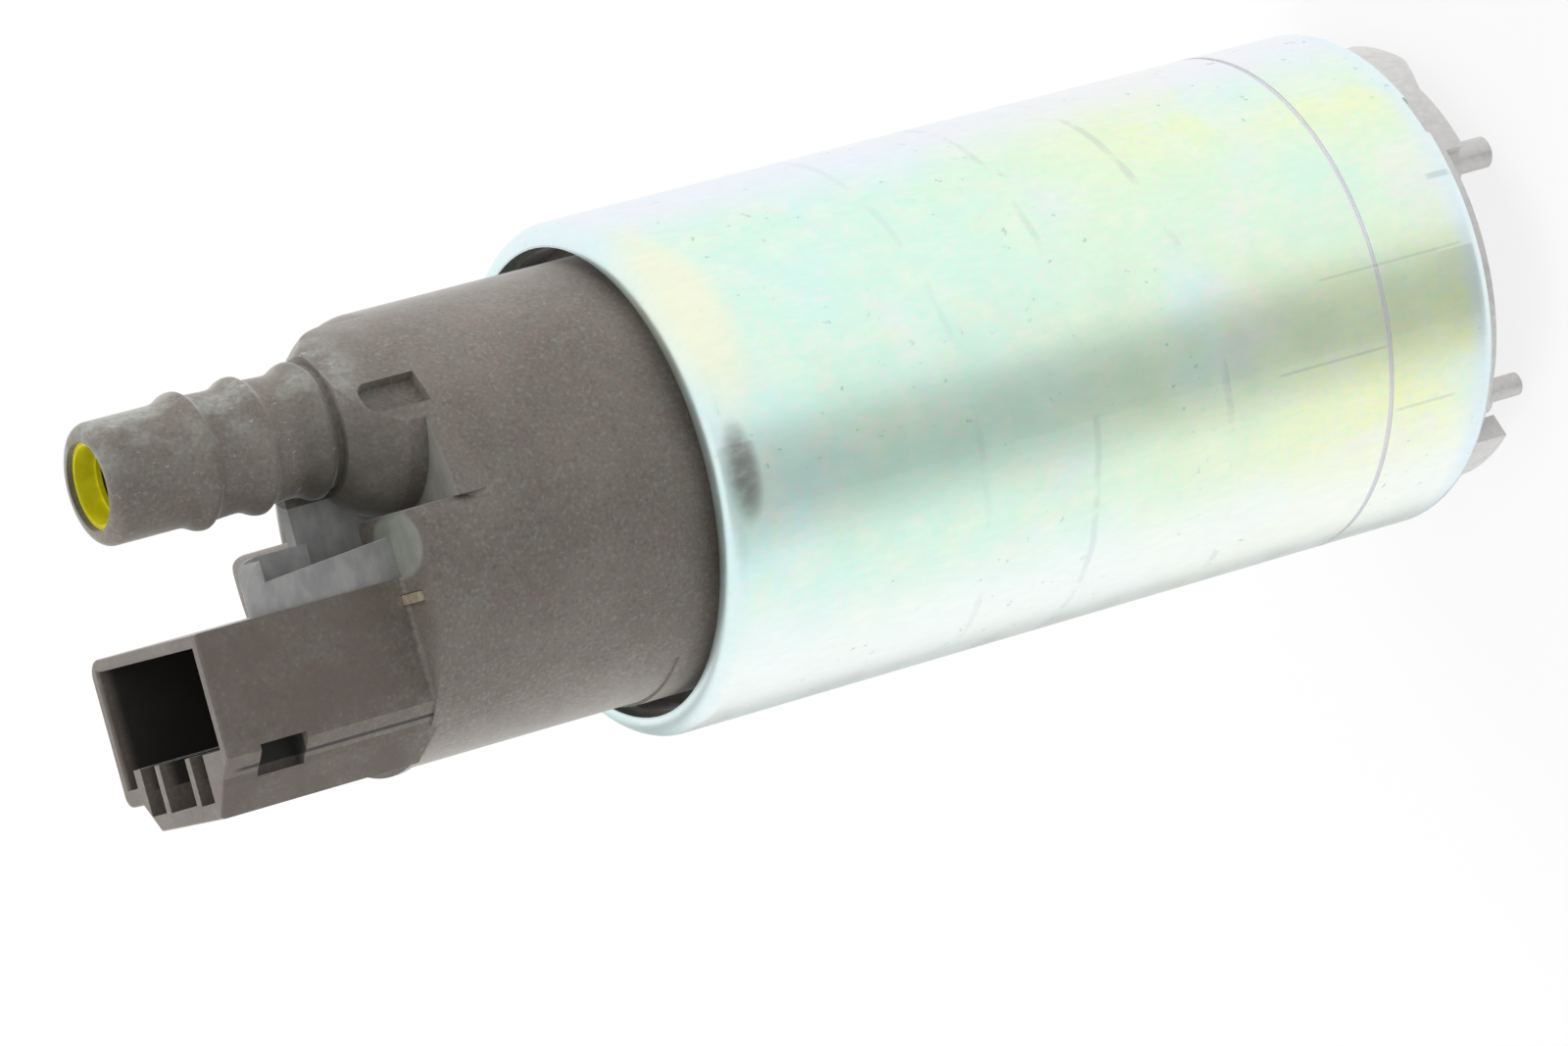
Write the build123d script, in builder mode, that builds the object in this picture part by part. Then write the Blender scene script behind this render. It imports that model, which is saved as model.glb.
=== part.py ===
from build123d import *
import math
import os

os.makedirs("parts", exist_ok=True)

# The pump stands on its suction end: Z is the motor axis and rises to the outlet, and the
# feet plane of the two pins and the inlet pipe is Z = 0. +X looks out of the connector's
# flat side and +Y towards the outlet pipe.

# Fits and clearances
press_gap = 0.02
seat_gap = 0.05
running_gap = 0.03
moving_gap = 0.3
slide_gap = 0.15

# Housing: a steel tube with both ends rolled in
housing_radius = 21.5
housing_wall = 1.4
housing_foot = 7.0
housing_length = 75.5
lip_reach = 1.9
lip_roll_radius = 1.6
foot_lip_reach = 2.1
housing_groove_height = 18.2
housing_groove_width = 0.5
housing_groove_depth = 0.25
foot_notch_width = 4.0
foot_notch_depth = 2.2
foot_notch_angle = 33.0

# Suction cover: cast, with inlet pipe, two pins and four wall segments
cover_thickness = 4.0
cover_boss_gap = 0.3
cover_boss_drop = 1.5
inlet_inset = 1.1
inlet_radius = 6.5
inlet_bore_radius = 4.75
pin_radii = (1.35, 1.0)
pin_inset = 3.0
pin_angles = (26.3, -51.3)
pin_root_step = 0.7
cover_wall_thickness = 2.2
cover_wall_height = 3.6
cover_wall_spans = ((25.0, 82.0), (105.0, 139.0), (213.0, 247.0), (263.0, 300.0))
cover_ledge_height = 1.8
cover_ledge_angle = 46.0
cover_ramp_length = 4.6
thrust_button_radius = 3.0
thrust_button_thickness = 1.5

# Pump stage
chamber_wall = 3.15
impeller_thickness = 3.6
impeller_rim_gap = 0.5
vane_count = 30
vane_slot_length = 2.4
vane_slot_width = 1.7
vane_ring_wall = 0.8
channel_depth = 1.6
channel_gap_angle = 40.0
pump_plate_thickness = 5.8
pump_rim_height = 4.6
pump_rim_wall = 2.2
port_radius = 2.0

# Rotor
shaft_radius = 2.5
shaft_flat_depth = 0.5
shaft_overrun = 1.0
bearing_radius = 4.5
bearing_length = 5.2
bearing_shoulder_radius = 3.2
air_gap = 0.85
core_inset = 3.5
slot_count = 8
slot_root_radius = 6.4
slot_rim = 1.8
tooth_width = 3.1
slot_mouth_width = 1.8
winding_gap = 0.2
winding_head_height = 4.6
winding_inner_radius = 5.6
winding_inset = 1.2
winding_head_round = 1.6
spacer_radius = 4.2
commutator_margin = 0.5
commutator_thickness = 5.0
commutator_lift = 2.2
commutator_slot_width = 0.5
commutator_slot_depth = 1.6
commutator_hub_radius = 4.6
washer_thickness = 1.0
washer_radius = 4.4

# Magnets and their clips
magnet_thickness = 4.6
magnet_span = 140.0
clip_thickness = 0.6
clip_margin = 2.5
clip_leg_depth = 3.2

# End cap: the moulded outlet end
cap_gap = 1.35
cap_rise = 20.8
cap_wall = 2.6
cap_roof = 3.8
cap_front_round = 3.0
cap_moat_inset = 0.25
cap_moat_depth = 2.4
cap_skirt_length = 19.1
cap_skirt_wall = 2.2
cap_skirt_step = 5.0
step_height = 3.8
step_edge_rise = 5.0
step_round = 0.8
step_corner_round = 1.5
groove_start_angle = -124.0
groove_end_angle = -56.0
groove_depth = 0.25
groove_tail = 3.2

# Outlet pipe and check valve
outlet_angle = 51.34
outlet_inset = 5.444
outlet_length = 25.5
outlet_mouth_radius = 3.57
outlet_bore_radius = 3.3
outlet_nose_radius = 4.93
outlet_nose_round = 1.1
barb_radius = 5.55
barb_count = 3
barb_pitch = 5.05
barb_first = 8.5
barb_rise = 2.2
barb_drop = 1.0
outlet_neck_radius = 5.03
outlet_collar_radius = 5.7
outlet_collar_height = 5.7
boss_radius = 8.3
boss_shoulder_height = 1.6
boss_shoulder_radius = 3.4
pocket_angle = 37.0
pocket_width = 3.2
pocket_depth = 1.0
pocket_length = 5.4
pocket_round = 1.2
pocket_start = 1.2
valve_seat_radius = 2.2
valve_seat_rise = 1.7
valve_head_radius = 2.85
valve_head_thickness = 1.7
valve_nose_radius = 1.75
valve_nose_length = 1.5
valve_stem_radius = 1.0
valve_stem_length = 9.0
cage_ring_wall = 0.42
cage_ring_length = 2.1
cage_ring_inset = 0.5
cage_leg_width = 1.3
cage_leg_wall = 0.4
cage_guide_wall = 0.7
cage_guide_height = 2.4
cage_guide_rise = 5.5
valve_spring_radius = 2.2
valve_spring_wire = 0.4
valve_spring_turns = 4

# Connector socket
socket_left = -9.3
socket_right = 12.4
socket_height = 14.4
socket_length = 18.3
socket_side_wall = 1.3
socket_top_wall = 1.0
socket_floor = 2.4
socket_corner_round = 1.5
socket_lower_round = 1.0
socket_rim_round = 0.3
socket_foot_fillet = 0.4
socket_bottom_wall = 1.4
socket_foot_rise = 2.3
lip_left = -5.2
lip_inset = 0.75
lip_wall = 1.3
rib_height = 5.2
lip_length = 13.9
lip_slant_length = 15.1
lip_slant_x = 5.0
lip_overrun = 0.6
rib_width = 0.9
rib_places = (-5.2, -1.4, 4.7, 8.2)
window_rise = 0.2
window_height = 2.4
window_mouth_gap = 2.9
window_length = 4.1

# Tower with its open channel, and the web behind it
tower_inset = 0.2
tower_wall = 1.05
tower_channel_width = 2.2
tower_channel_rise = 1.0
tower_near_rise = 3.3
tower_far_rise = 4.5
tower_length = 12.6
tower_end_wall = 1.3
tower_near_round = 1.0
tower_far_round = 2.6
tower_back_round = 3.2
tower_far_length = 7.0
tower_near_slope = 0.9
web_offset = 1.0
web_thickness = 1.6
web_length = 9.3

# Electrical pieces
bearing_seat_wall = 1.0
brush_width = 5.0
brush_breadth = 6.0
brush_length = 11.0
guide_wall = 1.2
guide_lift = 1.5
guide_well_roof = 2.0
guide_web_thickness = 2.0
hub_wall = 1.7
hub_tip_gap = 2.0
brush_spring_radius = 2.0
brush_spring_wire = 0.45
brush_spring_turns = 8
terminal_spread = 10.0
terminal_drop = 4.5
terminal_width = 2.8
terminal_thickness = 0.8
terminal_depth = 9.0
terminal_tail = 1.6
terminal_tip_bevel = 0.3
choke_wall_gap = 0.4
choke_core_radius = 1.5
choke_core_length = 12.0
choke_core_pocket = 1.0
choke_coil_radius = 2.5
choke_coil_turns = 8
choke_coil_pitch = 1.0
strip_inset = 2.95
strip_length = 5.7
strip_drop = 1.8
strip_width = 0.8
strip_thickness = 0.9
strip_proud = 0.5

# Radii and heights of the stack that the two rolled lips clamp together
housing_top = housing_foot + housing_length
lip_opening_radius = housing_radius - lip_reach
foot_lip_opening_radius = housing_radius - foot_lip_reach
inner_radius = housing_radius - housing_wall
stack_radius = inner_radius - seat_gap
stack_foot = housing_foot + housing_wall
stack_top = housing_top - housing_wall

# Suction cover and pump stage
cover_boss_radius = foot_lip_opening_radius - cover_boss_gap
cover_top = stack_foot + cover_thickness
cover_boss_foot = housing_foot - cover_boss_drop
inlet_offset = cover_boss_radius - inlet_inset - inlet_radius
pin_places = [
    (
        (cover_boss_radius - pin_inset) * math.cos(math.radians(angle)),
        (cover_boss_radius - pin_inset) * math.sin(math.radians(angle)),
    )
    for angle in pin_angles
]
impeller_foot = cover_top + moving_gap
impeller_top = impeller_foot + impeller_thickness
chamber_top = impeller_top + moving_gap
chamber_radius = stack_radius - chamber_wall
impeller_radius = chamber_radius - impeller_rim_gap
plate_top = chamber_top + pump_plate_thickness

# Magnets, from the pump body's rim to the end cap's skirt
magnet_foot = plate_top + pump_rim_height
magnet_top = stack_top - cap_skirt_length
magnet_length = magnet_top - magnet_foot
magnet_inner_radius = stack_radius - magnet_thickness

# Rotor and what it drives
button_top = cover_top - moving_gap
shaft_foot = button_top + moving_gap
core_foot = magnet_foot + core_inset
core_top = magnet_top - core_inset
core_length = core_top - core_foot
core_radius = magnet_inner_radius - air_gap
slot_outer_radius = core_radius - slot_rim
slot_pitch_ratio = 2 * math.tan(math.pi / slot_count)
slot_root_width = slot_root_radius * slot_pitch_ratio - tooth_width
slot_outer_width = slot_outer_radius * slot_pitch_ratio - tooth_width
winding_outer_radius = core_radius - winding_inset
winding_foot = core_foot - winding_head_height
winding_top = core_top + winding_head_height
commutator_foot = winding_top + commutator_lift
commutator_top = commutator_foot + commutator_thickness
washer_top = commutator_top + washer_thickness
hub_foot = washer_top + moving_gap
hub_radius = bearing_radius + hub_wall
upper_bearing_top = hub_foot + bearing_length
shaft_top = upper_bearing_top + shaft_overrun
brush_ring_radius = (
    bearing_radius + press_gap + bearing_seat_wall + slide_gap + brush_width / 2
)
brush_places = {"positive": -brush_ring_radius, "negative": brush_ring_radius}
commutator_radius = brush_ring_radius + brush_width / 2 + commutator_margin
brush_foot = commutator_top + moving_gap
brush_top = brush_foot + brush_length
guide_foot = commutator_top + guide_lift

# End cap, from its front plane
cap_radius = lip_opening_radius - cap_gap
cap_moat_radius = lip_opening_radius - cap_moat_inset
cap_front = housing_top + cap_rise
cavity_top = cap_front - cap_roof
cavity_radius = cap_radius - cap_wall
well_top = cavity_top - guide_well_roof
step_front = cap_front + step_height

# Outlet pipe and check valve
outlet_x = (cap_radius - outlet_inset) * math.cos(math.radians(outlet_angle))
outlet_y = (cap_radius - outlet_inset) * math.sin(math.radians(outlet_angle))
outlet_tip = cap_front + outlet_length
collar_top = cap_front + outlet_collar_height
valve_seat_top = cap_front + valve_seat_rise
valve_head_foot = valve_seat_top + moving_gap
valve_head_top = valve_head_foot + valve_head_thickness
cage_guide_foot = valve_head_top + cage_guide_rise
cage_ring_top = outlet_tip - cage_ring_inset
cage_ring_foot = cage_ring_top - cage_ring_length

# Connector socket, from the underside of the cap
lip_bottom = lip_inset - cap_radius
lip_shelf = lip_bottom + rib_height
socket_wall_bottom = lip_bottom + socket_foot_rise
socket_inner_bottom = socket_wall_bottom + socket_bottom_wall
socket_top = lip_bottom + socket_height
socket_mouth = step_front + socket_length
socket_bed = step_front + socket_floor
socket_middle = (socket_left + socket_right) / 2
window_bottom = socket_wall_bottom + window_rise
window_top = window_bottom + window_height
step_edge_y = socket_top + step_edge_rise

# Tower and web, beside the socket and the outlet
tower_right = socket_right - tower_inset
tower_left = tower_right - 2 * tower_wall - tower_channel_width
tower_channel_floor = socket_top + tower_channel_rise
tower_near_top = socket_top + tower_near_rise
tower_far_top = socket_top + tower_far_rise
web_right = outlet_x - web_offset
web_left = web_right - web_thickness

# Terminals, chokes and lead strip
terminal_y = socket_top - terminal_drop
terminal_tip = socket_mouth - terminal_depth
terminal_foot = cavity_top - terminal_tail
terminal_places = {
    "positive": socket_middle - terminal_spread / 2,
    "negative": socket_middle + terminal_spread / 2,
}
choke_reach = cavity_radius - choke_coil_radius - choke_wall_gap
choke_y = -math.sqrt(choke_reach**2 - terminal_places["negative"] ** 2)
strip_outer_x = cap_radius - strip_inset
strip_inner_x = strip_outer_x - strip_length
strip_y = socket_top - strip_drop


def ring(outer, inner, foot, top):
    """A plain turned ring about the pump's axis."""
    with BuildPart() as piece:
        with BuildSketch(Plane.XY.offset(foot)):
            Circle(outer)
            Circle(inner, mode=Mode.SUBTRACT)
        extrude(amount=top - foot)
    return piece


def coil(radius, wire, foot, top, turns, centre):
    """A compression spring with its wire lying between the two heights."""
    rise = top - foot - wire
    with BuildPart() as piece:
        with BuildLine(Plane((centre[0], centre[1], foot + wire / 2))) as path:
            Helix(pitch=rise / turns, height=rise, radius=radius)
        with BuildSketch(Plane(origin=path.line @ 0, z_dir=path.line % 0)):
            RegularPolygon(wire / 2, 6)
        sweep(path=path.line, is_frenet=True)
    return piece


# Housing
with BuildPart() as housing:
    with BuildSketch(Plane.XZ):
        with BuildLine():
            Polyline(
                (lip_opening_radius, stack_top),
                (lip_opening_radius, housing_top),
                (housing_radius - lip_roll_radius, housing_top),
            )
            RadiusArc(
                (housing_radius - lip_roll_radius, housing_top),
                (housing_radius, housing_top - lip_roll_radius),
                lip_roll_radius,
            )
            Line(
                (housing_radius, housing_top - lip_roll_radius),
                (housing_radius, housing_foot + lip_roll_radius),
            )
            RadiusArc(
                (housing_radius, housing_foot + lip_roll_radius),
                (housing_radius - lip_roll_radius, housing_foot),
                lip_roll_radius,
            )
            Polyline(
                (housing_radius - lip_roll_radius, housing_foot),
                (foot_lip_opening_radius, housing_foot),
                (foot_lip_opening_radius, stack_foot),
                (inner_radius, stack_foot),
                (inner_radius, stack_top),
                (lip_opening_radius, stack_top),
            )
        make_face()
    revolve(axis=Axis.Z)
    with BuildSketch(Plane.XZ):
        with Locations((housing_radius, housing_groove_height)):
            Rectangle(housing_groove_depth * 2, housing_groove_width)
    revolve(axis=Axis.Z, mode=Mode.SUBTRACT)
    with Locations(
        Location((0, 0, housing_foot), (0, 0, foot_notch_angle))
        * Location((housing_radius, 0, 0))
    ):
        Box(
            2 * (housing_radius - foot_lip_opening_radius) + housing_wall,
            foot_notch_width,
            foot_notch_depth,
            mode=Mode.SUBTRACT,
        )
housing.part.label = "housing"
export_step(housing.part, "parts/housing.step")

# Suction cover
channel_inner = impeller_radius - vane_ring_wall - vane_slot_length
channel_outer = impeller_radius - vane_ring_wall
channel_middle = (channel_inner + channel_outer) / 2
with BuildSketch() as channel:
    with BuildLine():
        channel_start = channel_gap_angle / 2
        channel_span = 360 - channel_gap_angle
        outer_arc = CenterArc((0, 0), channel_outer, channel_start, channel_span)
        inner_arc = CenterArc((0, 0), channel_inner, channel_start, channel_span)
        Line(outer_arc @ 0, inner_arc @ 0)
        Line(outer_arc @ 1, inner_arc @ 1)
    make_face()

with BuildPart() as suction_cover:
    with BuildSketch(Plane.XY.offset(stack_foot)):
        Circle(stack_radius)
    extrude(amount=cover_thickness)
    with BuildSketch(Plane.XY.offset(cover_top - channel_depth)):
        add(channel.sketch)
    extrude(amount=channel_depth, mode=Mode.SUBTRACT)
    with BuildSketch(Plane.XY.offset(cover_boss_foot)):
        Circle(cover_boss_radius)
    extrude(amount=stack_foot - cover_boss_foot)
    with BuildSketch(Plane.XY.offset(cover_boss_foot - cover_wall_height)):
        Circle(cover_boss_radius)
        Circle(cover_boss_radius - cover_wall_thickness, mode=Mode.SUBTRACT)
        following_walls = cover_wall_spans[1:] + cover_wall_spans[:1]
        for this_wall, next_wall in zip(cover_wall_spans, following_walls):
            gap_start = math.radians(this_wall[1])
            gap_stop = math.radians(next_wall[0])
            if gap_stop < gap_start:
                gap_stop += 2 * math.pi
            reach = housing_radius / math.cos((gap_stop - gap_start) / 2)
            Polygon(
                (0, 0),
                (reach * math.cos(gap_start), reach * math.sin(gap_start)),
                (reach * math.cos(gap_stop), reach * math.sin(gap_stop)),
                align=None,
                mode=Mode.SUBTRACT,
            )
    extrude(amount=cover_wall_height)
    # The first wall slopes down to a low ledge that runs on to the upper pin
    ledge_direction = math.radians(cover_ledge_angle)
    ledge_plane = Plane(
        origin=(0, 0, cover_boss_foot - cover_ledge_height),
        x_dir=(-math.sin(ledge_direction), math.cos(ledge_direction), 0),
        z_dir=(math.cos(ledge_direction), math.sin(ledge_direction), 0),
    )
    with BuildSketch(ledge_plane):
        Polygon(
            (-cover_boss_radius, 0),
            (0, 0),
            (cover_ramp_length, cover_ledge_height - cover_wall_height),
            (-cover_boss_radius, cover_ledge_height - cover_wall_height),
            align=None,
        )
    extrude(amount=cover_boss_radius, mode=Mode.SUBTRACT)
    for pin_place, pin_radius in zip(pin_places, pin_radii):
        with BuildSketch(Plane.XY):
            with Locations(pin_place):
                Circle(pin_radius)
        extrude(amount=cover_boss_foot)
        with BuildSketch(Plane.XY.offset(cover_boss_foot - cover_ledge_height)):
            with Locations(pin_place):
                Circle(pin_radius + pin_root_step)
        extrude(amount=cover_ledge_height)
    with BuildSketch(Plane.XY):
        with Locations((-inlet_offset, 0)):
            Circle(inlet_radius)
    extrude(amount=cover_boss_foot)
    with BuildSketch(Plane.XY):
        with Locations((-inlet_offset, 0)):
            Circle(inlet_bore_radius)
    extrude(amount=cover_top, mode=Mode.SUBTRACT)
    with BuildSketch(Plane.XY.offset(cover_top)):
        Circle(thrust_button_radius + press_gap)
    extrude(
        amount=-(moving_gap + thrust_button_thickness),
        mode=Mode.SUBTRACT,
    )
suction_cover.part.label = "suction_cover"
export_step(suction_cover.part, "parts/suction_cover.step")

with BuildPart() as thrust_button:
    with BuildSketch(Plane.XY.offset(button_top - thrust_button_thickness)):
        Circle(thrust_button_radius)
    extrude(amount=thrust_button_thickness)
    chamfer(thrust_button.edges().group_by(Axis.Z)[-1], moving_gap)
thrust_button.part.label = "thrust_button"
export_step(thrust_button.part, "parts/thrust_button.step")

# Pump body: the chamber over the impeller, with the lower bearing in its plate
with BuildPart() as pump_body:
    with BuildSketch(Plane.XY.offset(cover_top)):
        Circle(stack_radius)
    extrude(amount=magnet_foot - cover_top)
    with BuildSketch(Plane.XY.offset(cover_top)):
        Circle(chamber_radius)
    extrude(amount=chamber_top - cover_top, mode=Mode.SUBTRACT)
    with BuildSketch(Plane.XY.offset(plate_top)):
        Circle(stack_radius - pump_rim_wall)
    extrude(amount=pump_rim_height, mode=Mode.SUBTRACT)
    with BuildSketch(Plane.XY.offset(chamber_top)):
        add(channel.sketch)
    extrude(amount=channel_depth, mode=Mode.SUBTRACT)
    with BuildSketch(Plane.XY.offset(chamber_top)):
        Circle(bearing_shoulder_radius)
        with Locations((channel_middle, 0)):
            Circle(port_radius)
    extrude(amount=pump_plate_thickness, mode=Mode.SUBTRACT)
    with BuildSketch(Plane.XY.offset(plate_top)):
        Circle(bearing_radius + press_gap)
    extrude(amount=-bearing_length, mode=Mode.SUBTRACT)
pump_body.part.label = "pump_body"
export_step(pump_body.part, "parts/pump_body.step")

# Impeller: a closed ring over the vane slots, driven by the flat on the shaft
with BuildPart() as impeller:
    with BuildSketch(Plane.XY.offset(impeller_foot)):
        Circle(impeller_radius)
        with PolarLocations(channel_middle, vane_count):
            SlotOverall(vane_slot_length, vane_slot_width, mode=Mode.SUBTRACT)
    extrude(amount=impeller_thickness)
    with BuildSketch(Plane.XY.offset(impeller_foot)):
        Circle(shaft_radius + press_gap)
        with Locations((shaft_radius + press_gap, 0)):
            Rectangle(
                shaft_flat_depth * 2,
                shaft_radius * 2,
                mode=Mode.SUBTRACT,
            )
    extrude(amount=impeller_thickness, mode=Mode.SUBTRACT)
impeller.part.label = "impeller"
export_step(impeller.part, "parts/impeller.step")

for bearing_name, bearing_top in (
    ("lower_bearing", plate_top),
    ("upper_bearing", upper_bearing_top),
):
    bearing = ring(
        bearing_radius,
        shaft_radius + running_gap,
        bearing_top - bearing_length,
        bearing_top,
    )
    bearing.part.label = bearing_name
    export_step(bearing.part, f"parts/{bearing_name}.step")

# Shaft
with BuildPart() as shaft:
    with BuildSketch(Plane.XY.offset(shaft_foot)):
        Circle(shaft_radius)
    extrude(amount=shaft_top - shaft_foot)
    with BuildSketch(Plane.XY.offset(shaft_foot)):
        with Locations((shaft_radius, 0)):
            Rectangle((shaft_flat_depth + press_gap) * 2, shaft_radius * 2)
    extrude(amount=chamber_top - shaft_foot, mode=Mode.SUBTRACT)
    chamfer(shaft.edges().group_by(Axis.Z)[-1], moving_gap)
shaft.part.label = "shaft"
export_step(shaft.part, "parts/shaft.step")

# Armature core: teeth between eight slots
with BuildPart() as armature_core:
    with BuildSketch(Plane.XY.offset(core_foot)):
        Circle(core_radius)
        Circle(shaft_radius + press_gap, mode=Mode.SUBTRACT)
        with PolarLocations(0, slot_count):
            Polygon(
                (slot_root_radius, -slot_root_width / 2),
                (slot_outer_radius, -slot_outer_width / 2),
                (slot_outer_radius, slot_outer_width / 2),
                (slot_root_radius, slot_root_width / 2),
                align=None,
                mode=Mode.SUBTRACT,
            )
        with PolarLocations(core_radius, slot_count):
            Rectangle(
                2 * (core_radius - slot_outer_radius) + winding_gap,
                slot_mouth_width,
                mode=Mode.SUBTRACT,
            )
    extrude(amount=core_length)
armature_core.part.label = "armature_core"
export_step(armature_core.part, "parts/armature_core.step")

# Winding: slot fills joined by the end turns above and below the core
with BuildPart() as winding:
    with BuildSketch(Plane.XY.offset(core_foot)):
        with PolarLocations(0, slot_count):
            Polygon(
                (slot_root_radius + winding_gap, -slot_root_width / 2 + winding_gap),
                (slot_outer_radius - winding_gap, -slot_outer_width / 2 + winding_gap),
                (slot_outer_radius - winding_gap, slot_outer_width / 2 - winding_gap),
                (slot_root_radius + winding_gap, slot_root_width / 2 - winding_gap),
                align=None,
            )
    extrude(amount=core_length)
    for head_foot in (winding_foot, core_top):
        with BuildSketch(Plane.XY.offset(head_foot)):
            Circle(winding_outer_radius)
            Circle(winding_inner_radius, mode=Mode.SUBTRACT)
            with PolarLocations(winding_outer_radius, slot_count, start_angle=180 / slot_count):
                Circle(winding_head_round, mode=Mode.SUBTRACT)
        extrude(amount=winding_head_height)
    chamfer(winding.edges().group_by(Axis.Z)[-1], winding_head_round / 2)
    chamfer(winding.edges().group_by(Axis.Z)[0], winding_head_round / 2)
winding.part.label = "winding"
export_step(winding.part, "parts/winding.step")

lower_spacer = ring(
    spacer_radius, shaft_radius + press_gap, plate_top + moving_gap, core_foot
)
lower_spacer.part.label = "lower_spacer"
export_step(lower_spacer.part, "parts/lower_spacer.step")
upper_spacer = ring(
    spacer_radius, shaft_radius + press_gap, core_top, commutator_foot
)
upper_spacer.part.label = "upper_spacer"
export_step(upper_spacer.part, "parts/upper_spacer.step")
upper_washer = ring(
    washer_radius, shaft_radius + press_gap, commutator_top, washer_top
)
upper_washer.part.label = "upper_washer"
export_step(upper_washer.part, "parts/upper_washer.step")

# Commutator: a flat face of eight segments
with BuildPart() as commutator:
    with BuildSketch(Plane.XY.offset(commutator_foot)):
        Circle(commutator_radius)
        Circle(shaft_radius + press_gap, mode=Mode.SUBTRACT)
    extrude(amount=commutator_thickness)
    with BuildSketch(Plane.XY.offset(commutator_top)):
        with PolarLocations(commutator_hub_radius, slot_count):
            Rectangle(
                commutator_radius,
                commutator_slot_width,
                align=(Align.MIN, Align.CENTER),
            )
    extrude(amount=-commutator_slot_depth, mode=Mode.SUBTRACT)
commutator.part.label = "commutator"
export_step(commutator.part, "parts/commutator.step")

# Magnets and the spring clips in the two gaps between them
for magnet_name, magnet_middle in (("magnet_right", 0.0), ("magnet_left", 180.0)):
    with BuildPart() as magnet:
        with BuildSketch(Plane.XY.offset(magnet_foot)):
            with BuildLine():
                magnet_start = magnet_middle - magnet_span / 2
                outer_arc = CenterArc((0, 0), stack_radius, magnet_start, magnet_span)
                inner_arc = CenterArc(
                    (0, 0), magnet_inner_radius, magnet_start, magnet_span
                )
                Line(outer_arc @ 0, inner_arc @ 0)
                Line(outer_arc @ 1, inner_arc @ 1)
            make_face()
        extrude(amount=magnet_length)
    magnet.part.label = magnet_name
    export_step(magnet.part, f"parts/{magnet_name}.step")

clip_span = 180 - magnet_span - 2 * math.degrees(seat_gap / stack_radius)
for clip_name, clip_middle in (("clip_front", 90.0), ("clip_back", 270.0)):
    with BuildPart() as clip:
        with BuildSketch(Plane.XY.offset(magnet_foot + clip_margin)):
            with BuildLine():
                clip_start = clip_middle - clip_span / 2
                outer_arc = CenterArc((0, 0), stack_radius, clip_start, clip_span)
                inner_arc = CenterArc(
                    (0, 0), stack_radius - clip_leg_depth, clip_start, clip_span
                )
                Line(outer_arc @ 0, inner_arc @ 0)
                Line(outer_arc @ 1, inner_arc @ 1)
            make_face()
            hollow_span = clip_span - 2 * math.degrees(clip_thickness / stack_radius)
            with BuildLine():
                hollow_start = clip_middle - hollow_span / 2
                outer_arc = CenterArc(
                    (0, 0), stack_radius - clip_thickness, hollow_start, hollow_span
                )
                inner_arc = CenterArc(
                    (0, 0), stack_radius - clip_leg_depth, hollow_start, hollow_span
                )
                Line(outer_arc @ 0, inner_arc @ 0)
                Line(outer_arc @ 1, inner_arc @ 1)
            make_face(mode=Mode.SUBTRACT)
        extrude(amount=magnet_length - 2 * clip_margin)
    clip.part.label = clip_name
    export_step(clip.part, f"parts/{clip_name}.step")

# End cap
pipe_plane = Plane(origin=(outlet_x, outlet_y, 0), x_dir=(1, 0, 0), z_dir=(0, -1, 0))
pipe_axis = Axis((outlet_x, outlet_y, 0), (0, 0, 1))
with BuildPart() as boss:
    with BuildSketch(pipe_plane):
        with BuildLine():
            Polyline(
                (outlet_collar_radius, collar_top),
                (0, collar_top),
                (0, cavity_top),
                (boss_radius, cavity_top),
                (boss_radius, cap_front + boss_shoulder_height),
            )
            RadiusArc(
                (boss_radius, cap_front + boss_shoulder_height),
                (outlet_collar_radius, collar_top),
                -(boss_shoulder_radius + outlet_collar_height - boss_shoulder_height),
            )
        make_face()
    revolve(axis=pipe_axis)
    with BuildSketch(Plane.XY.offset(cavity_top)):
        Circle(cap_radius)
    extrude(amount=collar_top, mode=Mode.INTERSECT)

with BuildPart() as step:
    with BuildSketch(Plane.XY.offset(cap_front - cap_front_round)):
        Circle(cap_radius)
        with Locations((0, step_edge_y)):
            Rectangle(
                2 * cap_radius,
                2 * cap_radius,
                align=(Align.CENTER, Align.MIN),
                mode=Mode.SUBTRACT,
            )
        fillet(vertices(), step_corner_round)
    extrude(amount=cap_front_round + step_height)
    with BuildSketch(Plane.YZ.offset(-cap_radius)):
        with BuildLine():
            Polyline(
                (-cap_radius, cap_front - cap_front_round),
                (step_edge_y, cap_front - cap_front_round),
                (step_edge_y, step_front - step_round),
            )
            RadiusArc(
                (step_edge_y, step_front - step_round),
                (step_edge_y - step_round, step_front),
                -step_round,
            )
            Polyline(
                (step_edge_y - step_round, step_front),
                (-cap_radius, step_front),
                (-cap_radius, cap_front - cap_front_round),
            )
        make_face()
    extrude(amount=2 * cap_radius, mode=Mode.INTERSECT)

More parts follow.
